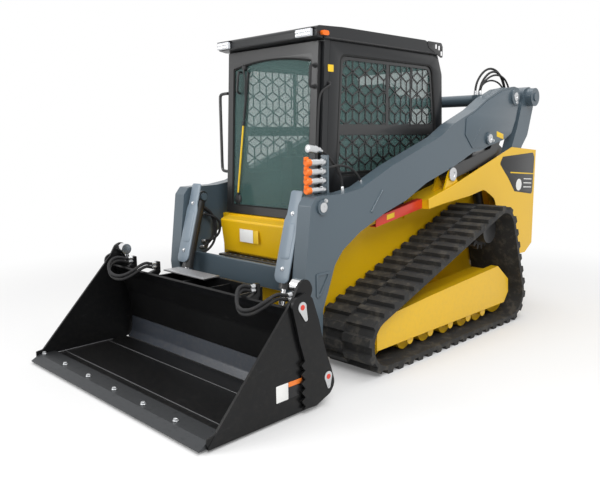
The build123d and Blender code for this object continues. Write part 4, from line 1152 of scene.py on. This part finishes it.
def arc(x, z, radius, turn, start, end):
    """Points round (x, z) every 15 degrees from start to end, all turned by an angle."""
    angles = [turn + radians(a) for a in range(start, end + 1, 15)]
    return [(x + radius * cos(angle), z + radius * sin(angle)) for angle in angles]


KEEPERS = (                         # pin, bolt
    ((1.267, 0.599), (1.241, 0.531)),
    ((1.071, 0.168), (1.067, 0.109)),
)
keepers, pin_hearts = Shop(), Shop()
for (x, z), (u, w) in KEEPERS:
    turn = atan2(w - z, u - x)
    drop = arc(x, z, 0.030, turn, 60, 300) + arc(u, w, 0.012, turn, -60, 60)
    keepers.plate(drop, side_view(0.9812), 0.0045, edge=0.001)
    keepers.bolt((u, 0.9828, w), (0, 1, 0), 0.010)
    pin_hearts.turned((x, 0.9830, z), (0, 1, 0), [(0, 0.015), (0.002, 0.015), (0.003, 0.010)], 18)
keepers.mirrored().done("pin_keepers", zinc, "bucket", "bare_steel")
pin_hearts.mirrored().done("pin_hearts", red_paint, "bucket", "orange_lens")

# %% [markdown]
# ## The stored arm strut
# A red channel hangs on each side of the chassis. It props the raised arm up for service, and red is the
# usual colour for it, so that nobody overlooks it. A web and two flanges make the channel.

# %% Stored strut
STRUT_BACK, STRUT_FRONT = (-0.293, 0.968), (0.232, 0.884)
STRUT_H, FLANGE = 0.068, 0.006


def strut_rows(low, high):
    """The band of the strut between two heights above its lower edge."""
    return [(STRUT_BACK[0], STRUT_BACK[1] + low), (STRUT_FRONT[0], STRUT_FRONT[1] + low),
            (STRUT_FRONT[0], STRUT_FRONT[1] + high), (STRUT_BACK[0], STRUT_BACK[1] + high)]


strut = Shop().plate(strut_rows(0, STRUT_H), side_view(0.638), FLANGE, edge=0.001)
for low in (STRUT_H - FLANGE, 0):
    strut.plate(strut_rows(low, low + FLANGE), side_view(0.614), 0.052, edge=0.001)
strut.mirrored().done("arm_strut", red_paint, "chassis", "orange_lens")
tag_rows = [(0.035, 0.935), (0.118, 0.922), (0.118, 0.956), (0.035, 0.969)]
label("strut_tag", tag_rows, side_view(0.6422), yellow_film, "chassis", "yellow_paint", True)

# %% [markdown]
# ## Steps
# Boots need grip: the step bar has three short blocks and a row of low studs, and the step on the bucket is
# bare steel with staggered ones. Each stud is a small turned cone.

# %% Steps
KNOB = [(0, 0.010), (0.004, 0.008), (0.005, 0.005)]
steps = Shop()
for y in (-0.370, 0.0, 0.370):
    steps.block((0.690, y - 0.020, 0.556), (0.712, y + 0.020, 0.600), 0.003)
for k in range(14):
    steps.turned((0.700, -0.377 + 0.058 * k, 0.653), (0, 0, 1), KNOB, 10)
steps.done("step_trim", slate_paint, "chassis", "slate_paint")
STUD = [(0, 0.009), (0.003, 0.007), (0.004, 0.004)]
treads = Shop().block((1.062, -0.435, 0.5903), (1.190, 0.020, 0.600), 0.0015)
for i in range(4):
    for k in range(12):
        treads.turned((1.082 + 0.028 * i, -0.415 + 0.037 * k + 0.018 * (i % 2), 0.598), (0, 0, 1), STUD, 8)
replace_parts(treads.done("tread_plate", bare_steel, "bucket", "bare_steel"), "step_plate")

# %% [markdown]
# ## The rear door
# The engine breathes through the rear door. Nine slots are cut in its plate in one go, as holes of its
# outline. A plain dark sheet across them stands partly for the door's mesh, which keeps leaves out, and partly is
# painted shade of the engine bay behind.

# %% Rear door
DOOR_BACK = -1.915
LOUVRES, PITCH, HALF_SLOT = 9, 0.046, 0.009
levels = [0.640 + PITCH * i for i in range(LOUVRES)]
louvres = [oblong(-0.270, 0.270, z - HALF_SLOT, z + HALF_SLOT, 0.008) for z in levels]
door_rows = oblong(-0.390, 0.390, 0.480, 1.240, 0.04)
tailgate = Shop().plate(door_rows, front_view(DOOR_BACK), 0.018, holes=louvres, edge=0.003)
for z in (0.620, 1.100):
    tailgate.turned((DOOR_BACK, 0.403, z - 0.030), (0, 0, 1), [(0, 0.009), (0.060, 0.009)], 14)
latch = [(-0.300, 1.100, 0.01), (-0.345, 1.100, 0.01), (-0.345, 1.180, 0.01), (-0.300, 1.180, 0.01)]
tailgate.plate(latch, front_view(-1.921), 0.006)
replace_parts(tailgate.done("tailgate", slate_paint, "rear_door", "slate_paint"), "rear_door")
# Solid dark sheet in the slots: partly the door's mesh, partly painted shade of the engine bay behind it
mesh_and_shade = Shop().block((-1.9105, -0.300, 0.600), (-1.9085, 0.300, 1.050), 0.0004)
mesh_and_shade.done("tailgate_mesh_and_shade", black_paint, "rear_door", "black_paint")

# %% [markdown]
# ## Floor and light
# A studio cyclorama is a white sheet under broad soft lamps. The floor takes the machine's shadow close by
# and turns to plain white further out, so that no horizon shows. The sky is white to the eye but dimmer as
# a light, which keeps the paints at the colours that they were given.

# %% Studio
HALF_FLOOR = 30.0
floor_mesh = bpy.data.meshes.new("floor")
corners = [(-HALF_FLOOR, -HALF_FLOOR, 0), (HALF_FLOOR, -HALF_FLOOR, 0), (HALF_FLOOR, HALF_FLOOR, 0),
           (-HALF_FLOOR, HALF_FLOOR, 0)]
floor_mesh.from_pydata(corners, [], [(0, 1, 2, 3)])
floor = bpy.data.objects.new("floor", floor_mesh)
floor.location.z = -0.001
bpy.context.scene.collection.objects.link(floor)

RAYS = ("Is Camera Ray", "Is Glossy Ray", "Is Transmission Ray")
studio = Finish("studio_floor", base_color=(0.72, 0.72, 0.72), roughness=0.9, specular_ior_level=0.1)
away = studio.add("ShaderNodeVectorMath", {"operation": "LENGTH"}, {0: studio.place()}, out="Value")
paths = [studio.add("ShaderNodeLightPath", out=ray) for ray in RAYS]
white = studio.add("ShaderNodeEmission", links={"Color": (1.0, 1.0, 1.0), "Strength": 1.0})
lit = Wire(studio, studio.shader.outputs[0])
WHITE_NEAR, WHITE_FAR = 0.12, 0.88  # how white the floor is at the machine, and how much more further out
amount = (paths[0] + paths[1] + paths[2]) * (WHITE_NEAR + away.band(2.4, 5.0) * WHITE_FAR)
blend = studio.add("ShaderNodeMixShader", links={0: amount, 1: lit, 2: white})
studio.tree.links.new(blend.socket, studio.tree.nodes["Material Output"].inputs["Surface"])
floor_mesh.materials.append(studio.material)
print("floor:", 2 * HALF_FLOOR, "m across")

# %% [markdown]
# ## Sky
# The world's background is plain white. Its strength is raised to full white for the rays that the eye
# follows, which are those of the camera, of mirrors and of glass. All other rays meet the dimmer sky that
# lights the scene.

# %% Sky
SKY_AS_LIGHT = 0.62
world = bpy.data.worlds.new("studio")
bpy.context.scene.world = world
world.use_nodes = True
sky = world.node_tree
backdrop = sky.nodes["Background"]
backdrop.inputs["Color"].default_value = (1.0, 1.0, 1.0, 1.0)
rays = sky.nodes.new("ShaderNodeLightPath")
level = SKY_AS_LIGHT
for ray in RAYS:
    brighter = sky.nodes.new("ShaderNodeMath")
    brighter.operation = "MAXIMUM"
    sky.links.new(rays.outputs[ray], brighter.inputs[0])
    if isinstance(level, float):
        brighter.inputs[1].default_value = level
    else:
        sky.links.new(level, brighter.inputs[1])
    level = brighter.outputs[0]
sky.links.new(level, backdrop.inputs["Strength"])
print("sky as a light:", SKY_AS_LIGHT)

# %% [markdown]
# ## Soft lamps
# Three broad discs stand in for softboxes: a key from the front left, one from above and a weak fill from
# the front right. Broad lamps give the soft-edged shadows of a studio, and steel and paint get calm
# highlights.

# %% Soft lamps
def soft_lamp(name, place, target, size, watts):
    """Round area lamp that looks at a target."""
    lamp = bpy.data.objects.new(name, bpy.data.lights.new(name, "AREA"))
    lamp.data.shape = "DISK"
    lamp.data.size, lamp.data.energy = size, watts
    lamp.location = place
    lamp.rotation_euler = (Vector(target) - Vector(place)).to_track_quat("-Z", "Y").to_euler()
    bpy.context.scene.collection.objects.link(lamp)


CENTRE = (0.0, 0.0, 0.9)
SOFTBOXES = (                       # name, place, size across, watts
    ("key", (3.5, 5.5, 6.5), 5.0, 420.0),
    ("top", (-1.5, 0.5, 8.0), 6.0, 300.0),
    ("fill", (6.5, -3.0, 3.5), 4.0, 160.0),
)
for name, place, size, watts in SOFTBOXES:
    soft_lamp(name, place, CENTRE, size, watts)
